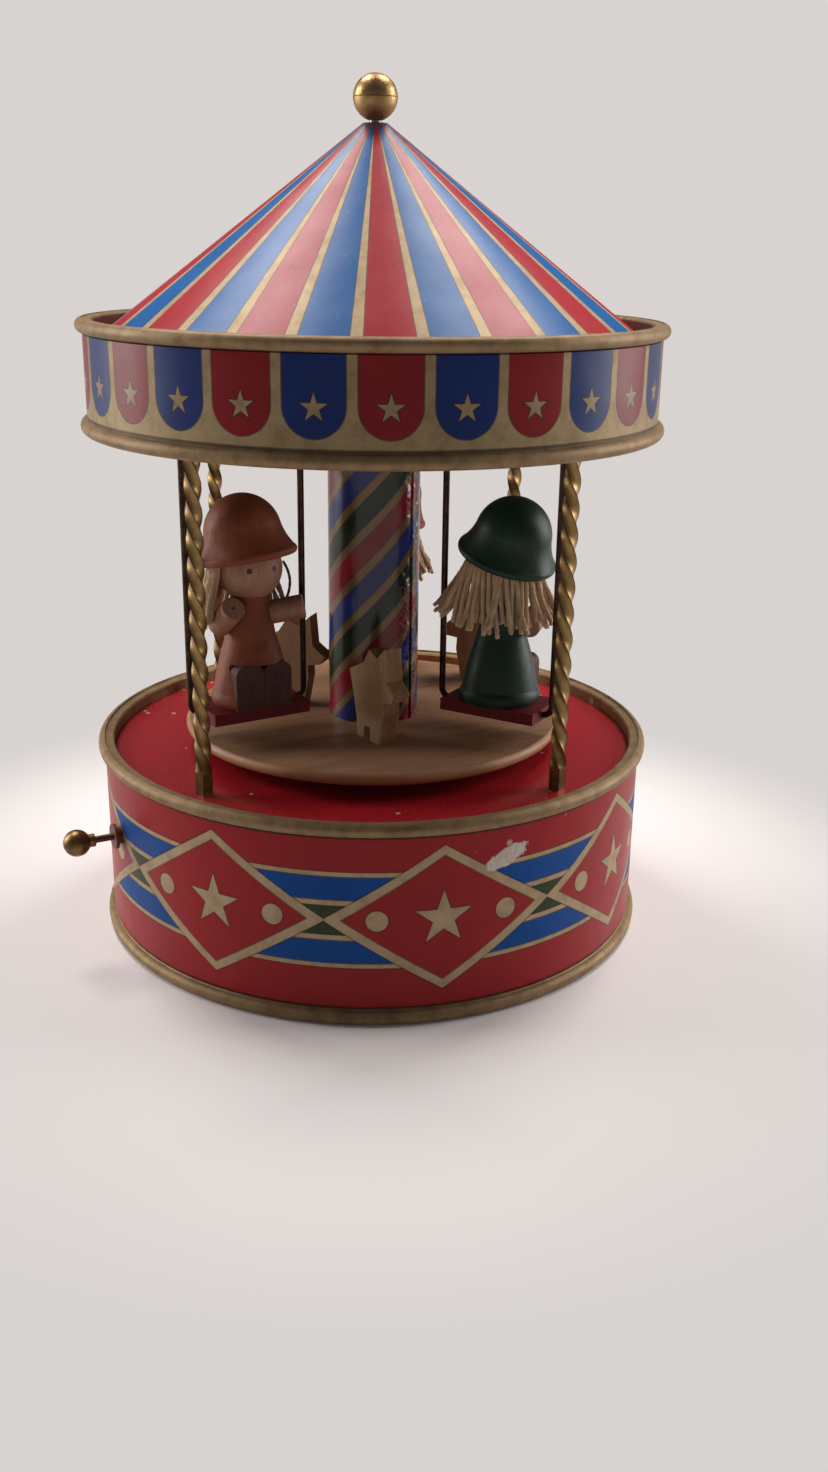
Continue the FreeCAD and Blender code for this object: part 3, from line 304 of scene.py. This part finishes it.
def base_material():
    p = Paint("printed_base")
    angle = p.angle()
    across = p.wrap(angle + 103.1, 22.5) * BASE_ARC
    up = p.z - BASE_PRINT_MIDDLE
    side, high = abs(across), abs(up)
    outer = diamond(side, high, 29.3, 18.95)
    inner = diamond(side, high, 24.7, 16.3)
    gold = gold_ink(p)
    fade = p.noise(18.0, 5.0, 0.6)
    red = p.mix(fade, RED, srgb(138, 20, 26))
    gold_bars = abs(high - 8.2) - 4.4
    blue_bars = abs(high - 8.3) - 3.0
    green_fans = high - 3.75
    marks = p.smallest(star(p, across, up, 7.6), p.length(side - 16.1, up) - 2.75)
    colour = print_layers(p, red, (
        (gold_bars, gold),
        (blue_bars, p.mix(fade, BLUE, srgb(8, 60, 126))),
        (green_fans, GREEN),
        (outer, gold),
        (inner, red),
        (marks, gold),
    ))
    frames = p.inside(p.smallest(outer, gold_bars)) - p.inside(inner)
    gold_share = p.largest(frames, p.inside(marks))
    bead = p.largest(p.inside(p.z - 3.9, 0.15), p.rise(p.z, 48.7, 48.95))
    # Painted shade in the grooves where the beads meet the wall.
    groove_shade = p.largest(p.inside(abs(p.z - 4.1) - 0.35, 0.2), p.inside(abs(p.z - 48.75) - 0.2, 0.15))
    colour = worn_bead(p, colour, bead)
    colour = p.mix(groove_shade * 0.75, colour, OUTLINE_AND_SHADE)
    along = p.wrap(angle + 90.5, 180) * BASE_ARC
    tall = p.z - 41.2
    length_wise = along * 0.93 + tall * 0.37
    width_wise = tall * 0.93 - along * 0.37
    blot = (length_wise * length_wise / 38.0 + width_wise * width_wise / 5.2
            + p.noise(1.6, 5.0, 0.75) * 1.9 - 1.9)
    chip = p.inside(blot, 0.12)
    flecks = p.specks(9.0, 0.8) * p.rise(p.z, 30.0, 47.0)
    bare = p.mix(p.noise(0.9, 4.0, 0.7), CHIP, srgb(150, 138, 126))
    colour = p.mix(p.largest(chip, flecks * 0.8), colour, bare)
    within = p.inside(p.length(p.x, p.y) - 72.95, 0.05) * p.inside(p.z - 48.0, 0.2)
    colour = p.mix(within, colour, TIN)
    return tin_finish(p, colour, p.largest(gold_share, bead))


def band_material():
    p = Paint("printed_band")
    angle = p.angle()
    step = 360.0 / STRIPES
    turn = angle + 113.7
    across = p.wrap(turn, step / 2) * BAND_ARC
    odd = p.rise(p.math("FLOORED_MODULO", p.math("FLOOR", turn / step + 0.5), 2.0), 0.4, 0.6)
    below = p.smallest(p.z - 146.5, 0.0)
    panel = p.length(across, below) - 6.92
    mark = star(p, across, p.z - BAND_STAR_HEIGHT, 3.4)
    gold = gold_ink(p, srgb(150, 130, 98), srgb(128, 106, 76))
    fade = p.noise(16.0, 5.0, 0.6)
    ink = p.mix(odd, p.mix(fade, srgb(132, 16, 24), srgb(106, 11, 18)),
                p.mix(fade, srgb(10, 40, 104), srgb(6, 31, 86)))
    colour = print_layers(p, gold, ((panel, ink), (mark, gold)))
    bead = p.largest(p.inside(p.z - 136.75, 0.12), p.rise(p.z, 157.2, 157.4))
    colour = worn_bead(p, colour, bead)
    # Painted shade in the grooves where the beads meet the wall.
    groove_shade = p.largest(p.inside(abs(p.z - 137.1) - 0.3, 0.2),
                       p.inside(abs(p.z - 157.25) - 0.2, 0.15))
    colour = p.mix(groove_shade * 0.75, colour, OUTLINE_AND_SHADE)
    lip = p.inside(p.length(p.x, p.y) - 70.75, 0.1) * p.inside(p.z - 159.7, 0.2)
    colour = p.mix(lip, colour, srgb(112, 74, 58))
    reach = p.length(p.x, p.y)
    inner_face = p.inside(reach - 72.25, 0.05) * p.inside(p.z - 157.0, 0.3)
    colour = p.mix(inner_face * p.rise(reach, 71.4, 71.5), colour, TIN)
    gold_share = p.largest(bead, p.rise(panel, -0.1, 0.1))
    return tin_finish(p, colour, gold_share)


def roof_material():
    p = Paint("printed_roof")
    step = 360.0 / STRIPES
    turn = p.angle() + 113.5
    reach = p.length(p.x, p.y)
    across = p.wrap(turn, step / 2)
    odd = p.rise(p.math("FLOORED_MODULO", p.math("FLOOR", turn / step + 0.5), 2.0), 0.4, 0.6)
    stripe = (abs(across) - (step / 2 - 1.32)) * reach * (math.pi / 180)
    fade = p.noise(12.0, 5.0, 0.65)
    ink = p.mix(odd, p.mix(fade, srgb(182, 44, 54), srgb(164, 36, 46)),
                p.mix(fade, srgb(32, 104, 170), srgb(22, 84, 150)))
    colour = print_layers(p, gold_ink(p), ((stripe, ink),), line=0.13)
    dust = p.rise(p.noise(1.4, 6.0, 0.75), 0.56, 0.8)
    colour = p.mix(dust * 0.25, colour, srgb(196, 186, 178))
    colour = p.mix(p.inside(p.z - 156.75, 0.25), colour, srgb(88, 46, 38))
    above_cone = p.z - ROOF_TOP + (reach - ROOF_TIP) * ROOF_SLOPE
    colour = p.mix(p.inside(above_cone + 0.3, 0.08), colour, TIN)
    return tin_finish(p, colour, p.rise(stripe, -0.05, 0.05), gloss=0.28)


def tube_material():
    p = Paint("printed_tube")
    turn = p.math("WRAP", p.angle() + TUBE_SEAM, 360.0, 0.0)
    height = p.z - turn * TUBE_RISE + (TUBE_RISE * 297.0 - 105.4)
    stripe = abs(p.wrap(height, TUBE_PITCH / 2)) - 3.45
    number = p.math("FLOORED_MODULO", p.math("FLOOR", height / TUBE_PITCH + 0.5), 3.0)
    fade = p.noise(7.0, 5.0, 0.65)
    red = p.mix(fade, srgb(134, 26, 34), srgb(104, 18, 26))
    blue = p.mix(fade, srgb(40, 50, 112), srgb(26, 34, 84))
    green = p.mix(fade, srgb(34, 44, 24), srgb(24, 32, 18))
    ink = p.mix(p.rise(number, 0.4, 0.6), red, green)
    ink = p.mix(p.rise(number, 1.4, 1.6), ink, blue)
    gold = p.mix(fade, srgb(124, 98, 70), srgb(98, 76, 52))
    colour = print_layers(p, gold, ((stripe, ink),), line=0.12)
    seam = p.inside(turn - 1.0, 0.4)
    beside = p.wrap(p.angle() + TUBE_SEAM, 180.0)
    near_seam = p.inside(abs(beside) - 26.0, 20.0)
    low_down = p.inside(abs(p.z - 84.0) - 12.0, 6.0)
    scuffs = p.rise(p.noise(2.2, 5.0, 0.7), 0.52, 0.6) * near_seam * low_down
    colour = p.mix(p.largest(seam * 0.6, scuffs * 0.75), colour, srgb(96, 60, 46))
    dents = p.noise(9.0, 3.0, 0.6) * near_seam
    return p.finish(colour, roughness=p.noise(6.0, 4.0) * 0.16 + 0.14,
                    metallic=p.rise(stripe, -0.05, 0.05) * 0.3,
                    bumps=((p.noise(18.0, 2.0), 0.5), (dents, 1.6), (scuffs, 0.12)),
                    Specular_IOR_Level=0.4)


# ---------------------------------------------------------------- paint, wood and metal

def deck_material():
    p = Paint("red_lacquer_deck")
    fade = p.noise(20.0, 5.0, 0.6)
    dust = p.rise(p.noise(0.9, 6.0, 0.75), 0.6, 0.78) * p.rise(p.noise(14.0, 3.0), 0.35, 0.65)
    colour = p.mix(fade, srgb(182, 32, 42), srgb(154, 26, 34))
    colour = p.mix(dust * 0.35, colour, srgb(170, 140, 130))
    colour = p.mix(p.specks(3.4, 0.86) * 0.8, colour, srgb(206, 190, 178))
    edge = p.rise(p.length(p.x, p.y), 68.6, 70.6) * p.rise(p.noise(1.5, 5.0, 0.7), 0.4, 0.62)
    colour = p.mix(edge * 0.7, colour, srgb(72, 44, 36))
    return p.finish(colour, roughness=dust * 0.3 + fade * 0.12 + 0.2,
                    bumps=((p.noise(30.0, 2.0), 0.5), (p.noise(0.7, 4.0, 0.6), 0.015)),
                    Specular_IOR_Level=0.6)


def wood_material(name, light, dark, grain=(1.0, 0.12, 1.0), turn=(0, 0, 0), size=1.3,
                  roughness=0.55, extra=None, dusty=0.0):
    """Bare wood: fine fibres along one axis, broad bands, pores, and what extra() paints on it."""
    p = Paint(name)
    run = p.stretch(grain, turn)
    fibres = p.noise(size, 8.0, 0.68, run, 0.3)
    bands = p.noise(size * 5.0, 3.0, 0.5, run, 0.8)
    pores = p.rise(p.noise(size * 0.32, 3.0, 0.5, run), 0.63, 0.72)
    colour = p.mix(p.rise(fibres * 0.55 + bands * 0.45, 0.34, 0.66), light, dark)
    colour = p.mix(pores * 0.45, colour, darker(dark, 0.45))
    if dusty:
        dust = p.rise(p.noise(0.55, 5.0, 0.8), 0.62, 0.74) * p.rise(p.noise(11.0, 3.0), 0.38, 0.6)
        colour = p.mix(dust * dusty, colour, srgb(190, 172, 150))
    if extra:
        colour = extra(p, colour)
    return p.finish(colour, roughness=fibres * 0.2 + roughness - 0.1,
                    bumps=((fibres, 0.06), (pores, 0.03), (p.noise(8.0, 2.0), 0.12)))


def painted_wood(name, colour, worn, roughness=0.5, wear=0.5):
    """Brushed paint over turned wood, thin enough to show the grain, rubbed through in places."""
    p = Paint(name)
    blotch = p.noise(6.0, 5.0, 0.6)
    grain = p.noise(0.8, 6.0, 0.65, p.stretch((1.0, 1.0, 0.16)))
    tone = p.mix(p.rise(blotch * 0.6 + grain * 0.4, 0.3, 0.7), colour, darker(colour, 0.62))
    rubbed = p.rise(p.noise(0.7, 6.0, 0.75), 0.62, 0.7) * p.rise(p.noise(7.0, 3.0), 0.5, 0.66)
    tone = p.mix(rubbed * wear, tone, worn)
    return p.finish(tone, roughness=grain * 0.18 + blotch * 0.1 + roughness - 0.14,
                    bumps=((grain, 0.05), (p.noise(5.0, 3.0), 0.12), (rubbed, 0.03)),
                    Specular_IOR_Level=0.3)


def metal_material(name, bright, dull, roughness=0.35, size=1.2, extra=None):
    """Aged metal: tarnish in blotches, fine scratches, and what extra() adds to the dull share,
    such as the painted highlight and shade on the twisted columns.
    """
    p = Paint(name)
    tarnish = p.rise(p.noise(size * 3, 6.0, 0.65), 0.34, 0.68)
    fine = p.noise(size * 0.35, 4.0, 0.6)
    share = tarnish * 0.5 + fine * 0.5
    if extra:
        share = extra(p, share)
    return p.finish(p.mix(share, bright, dull), roughness=share * 0.3 + roughness - 0.08,
                    metallic=0.9, bumps=((fine, 0.02), (tarnish, 0.02)))


def steel(name, tone=150, roughness=0.35):
    return metal_material(name, srgb(tone, tone, tone - 4),
                          srgb(tone * 0.6, tone * 0.56, tone * 0.5), roughness)


def column_material(number):
    """Twisted brass strip: painted highlight on the flats, painted shade on its thin edges, and
    darker towards the foot.
    """
    low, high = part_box(f"column_{number}")
    middle = (low + high) / 2 / MM

    def ridges(p, share):
        reach = p.length(p.x - middle.x, p.y - middle.y)
        # Painted shade on the edges and painted highlight on the flats, set by distance from the
        # column's axis.
        edges = p.rise(reach, 1.8, 2.1)
        # Darker towards the foot.
        foot = p.inside(p.z - 58.0, 8.0)
        return p.largest(edges, share * 0.55 + foot * 0.3)

    return metal_material(f"twisted_brass_{number}", srgb(162, 130, 82), srgb(42, 28, 18), 0.4,
                          extra=ridges)


def swing_point(number, x, y, z):
    """A point given along a swing's own radius, in the object's millimetres."""
    angle = math.radians(SWING_ANGLES[number])
    return Vector((x * math.cos(angle) - y * math.sin(angle),
                   x * math.sin(angle) + y * math.cos(angle), z))


def distance_to(p, point):
    return p.length(p.x - point.x, p.y - point.y, p.z - point.z)


def face_material(number):
    """Natural turned ball with two small painted eyes."""
    eyes = []
    for side in (-1, 1):
        turn = math.radians(23.7)
        lift = 0.8
        flat = math.sqrt(HEAD_RADIUS ** 2 - lift ** 2)
        eyes.append(swing_point(number, DOLL_RADIUS + side * flat * math.sin(turn),
                                DOLL_FORWARD + flat * math.cos(turn), HEAD_HEIGHT + lift))

    def dots(p, colour):
        wobble = p.noise(0.8, 2.0) * 0.22 - 0.11
        for eye in eyes:
            dot = p.inside(distance_to(p, eye) - 0.72 + wobble, 0.07)
            colour = p.mix(dot, colour, srgb(14, 10, 9))
        cheeks = p.noise(9.0, 3.0)
        return p.mix(cheeks * 0.25, colour, srgb(150, 96, 78))

    return wood_material(f"face_wood_{number}", srgb(176, 132, 106), srgb(148, 104, 80),
                         (1.0, 1.0, 0.2), roughness=0.5, extra=dots)


# Rise of the outer arm and turn of the inner arm of each doll, in degrees, as the part has them.
ARMS = {1: (39.0, 60.0), 2: (11.0, 42.0), 3: (30.0, 50.0)}


def arm_material(number):
    """Dowels with end grain rings and a small nail hole in the middle of each end."""
    rise, turn = (math.radians(degrees) for degrees in ARMS[number])
    arms = (
        (Vector((8.1, -1.2, 86.2)), Vector((-0.1, 1.0, math.tan(rise))), 9.6),
        (Vector((-5.0, 1.8, 88.8)), Vector((-math.sin(turn), math.cos(turn), 0.2)), 8.6),
    )
    ends = []
    for shoulder, direction, length in arms:
        tip = shoulder + direction.normalized() * length
        ends.append(swing_point(number, DOLL_RADIUS + tip.x, DOLL_FORWARD + tip.y, tip.z))

    def rings(p, colour):
        for end in ends:
            reach = distance_to(p, end)
            ring = p.inside(abs(p.wrap(reach + p.noise(1.5, 2.0) * 0.5, 0.42)) - 0.1, 0.12)
            colour = p.mix(ring * p.inside(reach - 2.9, 0.1) * 0.45, colour, srgb(104, 66, 48))
            colour = p.mix(p.inside(reach - 0.42, 0.12), colour, srgb(52, 30, 22))
        return colour

    return wood_material(f"arm_wood_{number}", srgb(168, 122, 96), srgb(136, 94, 70),
                         (1.0, 1.0, 0.3), roughness=0.55, extra=rings)


DOGS = {1: (-9.3, -26.9, -84.0), 2: (39.2, 18.0, 133.0), 3: (-14.5, 12.7, -46.0)}


def dog_material(number):
    """Sawn board with darker saw-cut edges and a burnt dot for an eye on each face."""
    x, y, heading = DOGS[number]
    along = Vector((math.cos(math.radians(heading)), math.sin(math.radians(heading))))

    def marks(p, colour):
        forward = (p.x - x) * along.x + (p.y - y) * along.y
        aside = (p.y - y) * along.x - (p.x - x) * along.y
        eye = p.length(forward - 0.9, p.z - TURNTABLE_TOP - 17.8) - 0.42
        colour = p.mix(p.inside(eye, 0.15) * 0.7, colour, srgb(70, 44, 30))
        edge = p.inside(abs(aside) - 2.3, 0.25)
        return p.mix((edge - 1.0) * -0.35, colour, srgb(190, 152, 108))

    return wood_material(f"dog_wood_{number}", srgb(156, 114, 74), srgb(118, 82, 52),
                         (1.0, 1.0, 0.14), roughness=0.62, extra=marks, dusty=0.2)


def turntable_material():
    """Turned disc: straight grain, faint lathe rings, dust, dark scuffs near the tube, and a
    painted highlight along the rounded rim.
    """
    # Lathe rings and scuffs on the disc, and a painted highlight along its rim.
    def wear(p, colour):
        reach = p.length(p.x, p.y)
        rings = p.noise(0.9, 3.0, 0.5)
        lathe = p.inside(abs(p.wrap(reach + rings * 0.6, 1.1)) - 0.18, 0.3)
        colour = p.mix(lathe * 0.14, colour, srgb(84, 56, 38))
        scuff = p.rise(p.noise(1.2, 6.0, 0.75), 0.6, 0.68) * p.inside(reach - 24.0, 12.0)
        colour = p.mix(scuff * 0.6, colour, srgb(72, 46, 34))
        # Painted highlight on the rounded rim of the disc.
        rim_highlight = p.rise(reach, 50.0, 50.9)
        return p.mix(rim_highlight * 0.5, colour, srgb(178, 122, 74))

    return wood_material("turntable_wood", srgb(168, 126, 92), srgb(142, 102, 72), (0.1, 1.0, 1.0),
                         (0, 0, 0.5), size=1.6, roughness=0.5, extra=wear, dusty=0.55)


def yarn_material(name, light, dark):
    """Cotton string: twisted plies with stray fibres."""
    p = Paint(name)
    tone = p.noise(2.6, 4.0, 0.6)
    fuzz = p.noise(0.16, 4.0, 0.8)
    colour = p.mix(tone, light, dark)
    colour = p.mix(p.rise(fuzz, 0.55, 0.8) * 0.4, colour, srgb(112, 80, 58))
    return p.finish(colour, roughness=0.92, bumps=((fuzz, 0.1),),
                    Sheen_Weight=0.25, Sheen_Roughness=0.5)


def finial_material():
    """Lacquered brass ball: the lacquer has flaked on top and tarnished round the seam."""
    def patches(p, share):
        crown = p.rise(p.z + p.noise(3.0, 2.0) * 3.0, 213.2, 215.0)
        flaked = p.rise(p.noise(1.5, 6.0, 0.75), 0.46, 0.56) * crown
        seam = p.inside(abs(p.z - 211.8) - 0.16, 0.12)
        low = p.inside(p.z - 208.6, 2.4)
        return p.largest(p.largest(seam * 0.9, low * 0.6), share * 0.6) - flaked * 0.5

    return metal_material("finial_brass", srgb(178, 144, 96), srgb(84, 58, 36), 0.42,
                          size=0.8, extra=patches)


def assign(names, material):
    for name in names.split():
        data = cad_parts[name].data
        data.materials.clear()
        data.materials.append(material)


assign("base_drum", base_material())
assign("canopy_band", band_material())
assign("canopy_roof", roof_material())
assign("center_column", tube_material())
assign("base_top_plate", deck_material())
assign("turntable", turntable_material())
for index in range(1, 5):
    assign(f"column_{index}", column_material(index))
assign("finial_ball", finial_material())
assign("base_bottom_plate canopy_floor", steel("plain_tin", 152, 0.4))
assign("movement_bedplate", steel("zinc_casting", 140, 0.55))
assign("movement_screws column_washers finial_stud winding_arbor", steel("plated_steel", 160, 0.3))
assign("music_comb mainspring", steel("spring_steel", 120, 0.3))
assign("cylinder_brackets governor_bracket swing_carrier winding_key output_spindle",
       steel("bright_steel", 150, 0.33))
BRASS = metal_material("movement_brass", srgb(190, 156, 92), srgb(128, 96, 52), 0.32)
assign("spring_barrel output_bush music_cylinder cylinder_gears governor", BRASS)
assign("stop_grommet", painted_wood("red_bush", srgb(116, 58, 48), srgb(96, 60, 48), 0.45))
assign("stop_rod", metal_material("rod_steel", srgb(120, 92, 74), srgb(60, 38, 28), 0.4))
assign("stop_knob", metal_material("knob_brass", srgb(150, 116, 74), srgb(78, 50, 32), 0.34,
                                   size=0.9))

WIRE = metal_material("wire_steel", srgb(84, 62, 50), srgb(34, 22, 18), 0.42, size=0.9)
SEAT = painted_wood("seat_paint", srgb(116, 22, 26), srgb(168, 120, 92), 0.5, 0.7)
SHOES = painted_wood("shoe_paint", srgb(86, 50, 46), srgb(120, 84, 70), 0.6, 0.4)
DRESSES = {
    1: painted_wood("terracotta_paint", srgb(142, 72, 44), srgb(118, 62, 42), 0.55, 0.4),
    2: painted_wood("green_paint", srgb(26, 52, 38), srgb(74, 54, 44), 0.45, 0.5),
    3: painted_wood("rose_paint", srgb(158, 66, 66), srgb(120, 62, 52), 0.5, 0.4),
}
for index in SWING_ANGLES:
    assign(f"swing_wire_{index}", WIRE)
    assign(f"seat_{index}", SEAT)
    assign(f"doll_shoes_{index}", SHOES)
    assign(f"doll_body_{index} doll_hat_{index}", DRESSES[index])
    assign(f"doll_head_{index}", face_material(index))
    assign(f"doll_arms_{index}", arm_material(index))
    assign(f"dog_{index}", dog_material(index))


# ---------------------------------------------------------------- yarn hair

YARN_RADIUS = 0.62
YARN_SIDES = 10
PLY_PITCH = 3.4


def smooth_path(points, steps):
    """A Catmull-Rom curve through the points."""
    ends = [points[0] * 2 - points[1], *points, points[-1] * 2 - points[-2]]
    path = []
    for a, b, c, d in zip(ends, ends[1:], ends[2:], ends[3:]):
        for i in range(steps):
            t = i / steps
            path.append(0.5 * (2 * b + (c - a) * t + (2 * a - 5 * b + 4 * c - d) * t * t
                               + (3 * b - a - 3 * c + d) * t ** 3))
    path.append(points[-1])
    return path


def add_strand(vertices, faces, path, radius, phase):
    """A two-ply string along a path: its section is a figure of two lobes that turns as it goes."""
    first = len(vertices)
    travelled = 0.0
    side = Vector((1, 0, 0))
    for i, point in enumerate(path):
        ahead = path[min(i + 1, len(path) - 1)] - path[max(i - 1, 0)]
        tangent = ahead.normalized()
        side = (side - tangent * side.dot(tangent)).normalized()
        across = tangent.cross(side)
        travelled += (point - path[i - 1]).length if i else 0.0
        twist = phase + 2 * math.pi * travelled / PLY_PITCH
        taper = 0.78 if i in (0, len(path) - 1) else 1.0
        for k in range(YARN_SIDES):
            angle = 2 * math.pi * k / YARN_SIDES
            lobe = radius * taper * (0.78 + 0.22 * abs(math.cos(angle - twist)))
            vertices.append(point + side * (lobe * math.cos(angle))
                            + across * (lobe * math.sin(angle)))
    rings = len(path)
    for i in range(rings - 1):
        for k in range(YARN_SIDES):
            a = first + i * YARN_SIDES + k
            b = first + i * YARN_SIDES + (k + 1) % YARN_SIDES
            faces.append((a, b, b + YARN_SIDES, a + YARN_SIDES))
    faces.append(tuple(first + k for k in reversed(range(YARN_SIDES))))
    last = first + (rings - 1) * YARN_SIDES
    faces.append(tuple(last + k for k in range(YARN_SIDES)))


def doll_point(turn, reach, height):
    """A point round a doll's head: turn is degrees from the back of the head."""
    angle = math.radians(turn - 90.0)
    return Vector((reach * math.cos(angle), reach * math.sin(angle), height))


def wig(number, seed, inner, outer, fly=0.0, loose=()):
    """Yarn that leaves the hat round the back, lies on the ball, and splays over the shoulders.

    It spans inner and outer degrees either side of the back; fly throws the inner locks outwards,
    and loose gives the paths of thin strands, darkened with painted shade.
    """
    chance = random.Random(seed)
    vertices, faces = [], []
    for layer, count, lift in ((0, 30, 0.0), (1, 31, 1.15)):
        for i in range(count):
            turn = (-inner + (inner + outer) * (i + 0.5 + 0.3 * layer) / (count + 0.3)
                    + chance.uniform(-2.6, 2.6))
            side = abs(turn) / max(inner, outer)
            thrown = fly * max(0.0, min(1.0, (-turn - 35.0) / 45.0))
            flare = (2.6 if layer else 1.4) * (1 - 0.35 * side) + chance.uniform(-0.7, 1.5) + thrown
            length = (15.8 - 1.2 * side + chance.uniform(-1.9, 1.1) - 0.8 * (1 - layer)
                      - 0.35 * thrown)
            sway = chance.uniform(-11.0, 11.0)
            bow = chance.uniform(-0.6, 0.7)
            top = HEAD_HEIGHT + 1.6
            path = [
                doll_point(turn, 8.9 + lift * 0.35, top),
                doll_point(turn, 9.25 + lift * 0.8, top - 1.8),
                doll_point(turn + sway * 0.2, 9.5 + lift + flare * 0.12, top - length * 0.3),
                doll_point(turn + sway * 0.5, 9.8 + lift + flare * 0.45 + bow, top - length * 0.58),
                doll_point(turn + sway * 0.8, 10.2 + lift + flare * 0.8, top - length * 0.82),
                doll_point(turn + sway, 10.4 + lift + flare * 1.15 + chance.uniform(-0.5, 0.8),
                           top - length),
            ]
            add_strand(vertices, faces, smooth_path(path, 7),
                       YARN_RADIUS * chance.uniform(0.9, 1.08), chance.uniform(0, 6.28))
    plain = len(faces)
    for points in loose:
        add_strand(vertices, faces, smooth_path([Vector(q) for q in points], 9), YARN_RADIUS * 0.62,
                   chance.uniform(0, 6.28))
    place = (Matrix.Rotation(math.radians(SWING_ANGLES[number]), 4, "Z")
             @ Matrix.Translation((DOLL_RADIUS, DOLL_FORWARD, 0)))
    mesh = bpy.data.meshes.new(f"wig_{number}")
    mesh.from_pydata([place @ v * MM for v in vertices], [], faces)
    mesh.polygons.foreach_set("use_smooth", [True] * len(mesh.polygons))
    mesh.materials.append(YARN)
    # The loose strands get the second slot: the same yarn painted darker, as painted shade.
    mesh.materials.append(SHADED_YARN)
    mesh.polygons.foreach_set("material_index", [int(i >= plain) for i in range(len(faces))])
    wig_object = bpy.data.objects.new(f"wig_{number}", mesh)
    bpy.context.scene.collection.objects.link(wig_object)
    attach(wig_object, f"swing_{number}")
    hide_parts(f"doll_hair_{number}")
    return wig_object


YARN = yarn_material("cotton_yarn", srgb(222, 190, 150), srgb(150, 112, 80))
# A darker copy of the yarn: painted shade for the loose strands that hang in shadow.
SHADED_YARN = yarn_material("shaded_yarn", srgb(70, 48, 38), srgb(46, 30, 24))
CHEEK_LOCK = ((-7.4, 4.6, 102.4), (-8.6, 4.6, 100.0), (-9.1, 4.8, 97.4), (-8.5, 5.4, 94.8),
              (-7.0, 6.6, 93.2), (-5.2, 7.4, 92.8))
wig(1, 11, 62.0, 104.0, loose=(CHEEK_LOCK,))
wig(2, 23, 105.0, 100.0, fly=3.6)
wig(3, 37, 102.0, 102.0)


# ---------------------------------------------------------------- floor, light and camera

BACKDROP = srgb(216, 211, 208)


def floor():
    """A pale floor that fades into the backdrop's own colour far from the object."""
    size = 6.0
    mesh = bpy.data.meshes.new("floor")
    mesh.from_pydata([(-size, -size, 0), (size, -size, 0), (size, size, 0), (-size, size, 0)], [],
                     [(0, 1, 2, 3)])
    p = Paint("pale_floor")
    pale = p.mix(p.noise(300.0, 2.0), srgb(242, 235, 234), srgb(238, 231, 230))
    mesh.materials.append(p.finish(pale, roughness=0.5, Specular_IOR_Level=0.3))
    haze = p.node("ShaderNodeEmission")
    haze.inputs["Color"].default_value = BACKDROP
    blend = p.node("ShaderNodeMixShader")
    p.feed(p.rise(p.length(p.x, p.y), 62.0, 185.0), blend.inputs[0])
    p.link(p.shader.outputs[0], blend.inputs[1])
    p.link(haze.outputs[0], blend.inputs[2])
    p.link(blend.outputs[0], p.tree.nodes["Material Output"].inputs["Surface"])
    ground = bpy.data.objects.new("floor", mesh)
    bpy.context.scene.collection.objects.link(ground)


def softbox(name, place, target, size, power, colour=(1.0, 0.98, 0.96)):
    lamp = bpy.data.lights.new(name, "AREA")
    lamp.shape = "RECTANGLE"
    lamp.size, lamp.size_y = size
    lamp.energy = power
    lamp.color = colour
    holder = bpy.data.objects.new(name, lamp)
    holder.location = place
    holder.rotation_euler = (Vector(target) - Vector(place)).to_track_quat("-Z", "Y").to_euler()
    bpy.context.scene.collection.objects.link(holder)


CAMERA_TURN = -26.5


def around_view(side, away, height):
    """A place given as seen from the camera: to its right, away from it, and up, in metres."""
    return Matrix.Rotation(math.radians(CAMERA_TURN), 3, "Z") @ Vector((side, away, height))


def room_light():
    world = bpy.data.worlds.new("room")
    bpy.context.scene.world = world
    world.use_nodes = True
    tree = world.node_tree
    seen = tree.nodes["Background"]
    seen.inputs["Color"].default_value = BACKDROP
    seen.inputs["Strength"].default_value = 1.0
    light = tree.nodes.new("ShaderNodeBackground")
    light.inputs["Color"].default_value = srgb(226, 222, 222)
    light.inputs["Strength"].default_value = 0.11
    rays = tree.nodes.new("ShaderNodeLightPath")
    blend = tree.nodes.new("ShaderNodeMixShader")
    tree.links.new(rays.outputs["Is Camera Ray"], blend.inputs[0])
    tree.links.new(light.outputs[0], blend.inputs[1])
    tree.links.new(seen.outputs[0], blend.inputs[2])
    tree.links.new(blend.outputs[0], tree.nodes["World Output"].inputs["Surface"])


def camera():
    pitch, roll, yaw = 0.341, 0.014, 0.031
    forward = Vector((math.sin(yaw) * math.cos(pitch), math.cos(yaw) * math.cos(pitch),
                      -math.sin(pitch)))
    level = Vector((math.cos(yaw), -math.sin(yaw), 0))
    upright = level.cross(forward)
    right = level * math.cos(roll) + upright * math.sin(roll)
    up = upright * math.cos(roll) - level * math.sin(roll)
    turn = Matrix.Rotation(math.radians(CAMERA_TURN), 3, "Z")
    axes = [turn @ axis for axis in (right, up, -forward)]
    data = bpy.data.cameras.new("camera")
    data.sensor_width = 36.0
    data.lens = 1400 / 1472 * 36.0
    data.clip_start = 0.01
    holder = bpy.data.objects.new("camera", data)
    place = turn @ Vector((0.0, -0.370338, 0.179579))
    holder.matrix_world = Matrix.Translation(place) @ Matrix(axes).transposed().to_4x4()
    bpy.context.scene.collection.objects.link(holder)
    bpy.context.scene.camera = holder


floor()
room_light()
softbox("top_left_light", around_view(-0.38, 0.43, 1.1), (0, 0, 0.1), (0.36, 0.5), 8.5)
softbox("top_right_light", around_view(0.38, 0.43, 1.1), (0, 0, 0.1), (0.36, 0.5), 8.5)
softbox("left_light", around_view(-0.95, 0.22, 0.38), (0, 0, 0.1), (0.5, 0.8), 8.5)
softbox("right_light", around_view(0.95, 0.22, 0.38), (0, 0, 0.1), (0.5, 0.8), 8.5)
camera()
bpy.context.scene.view_settings.view_transform = "Standard"
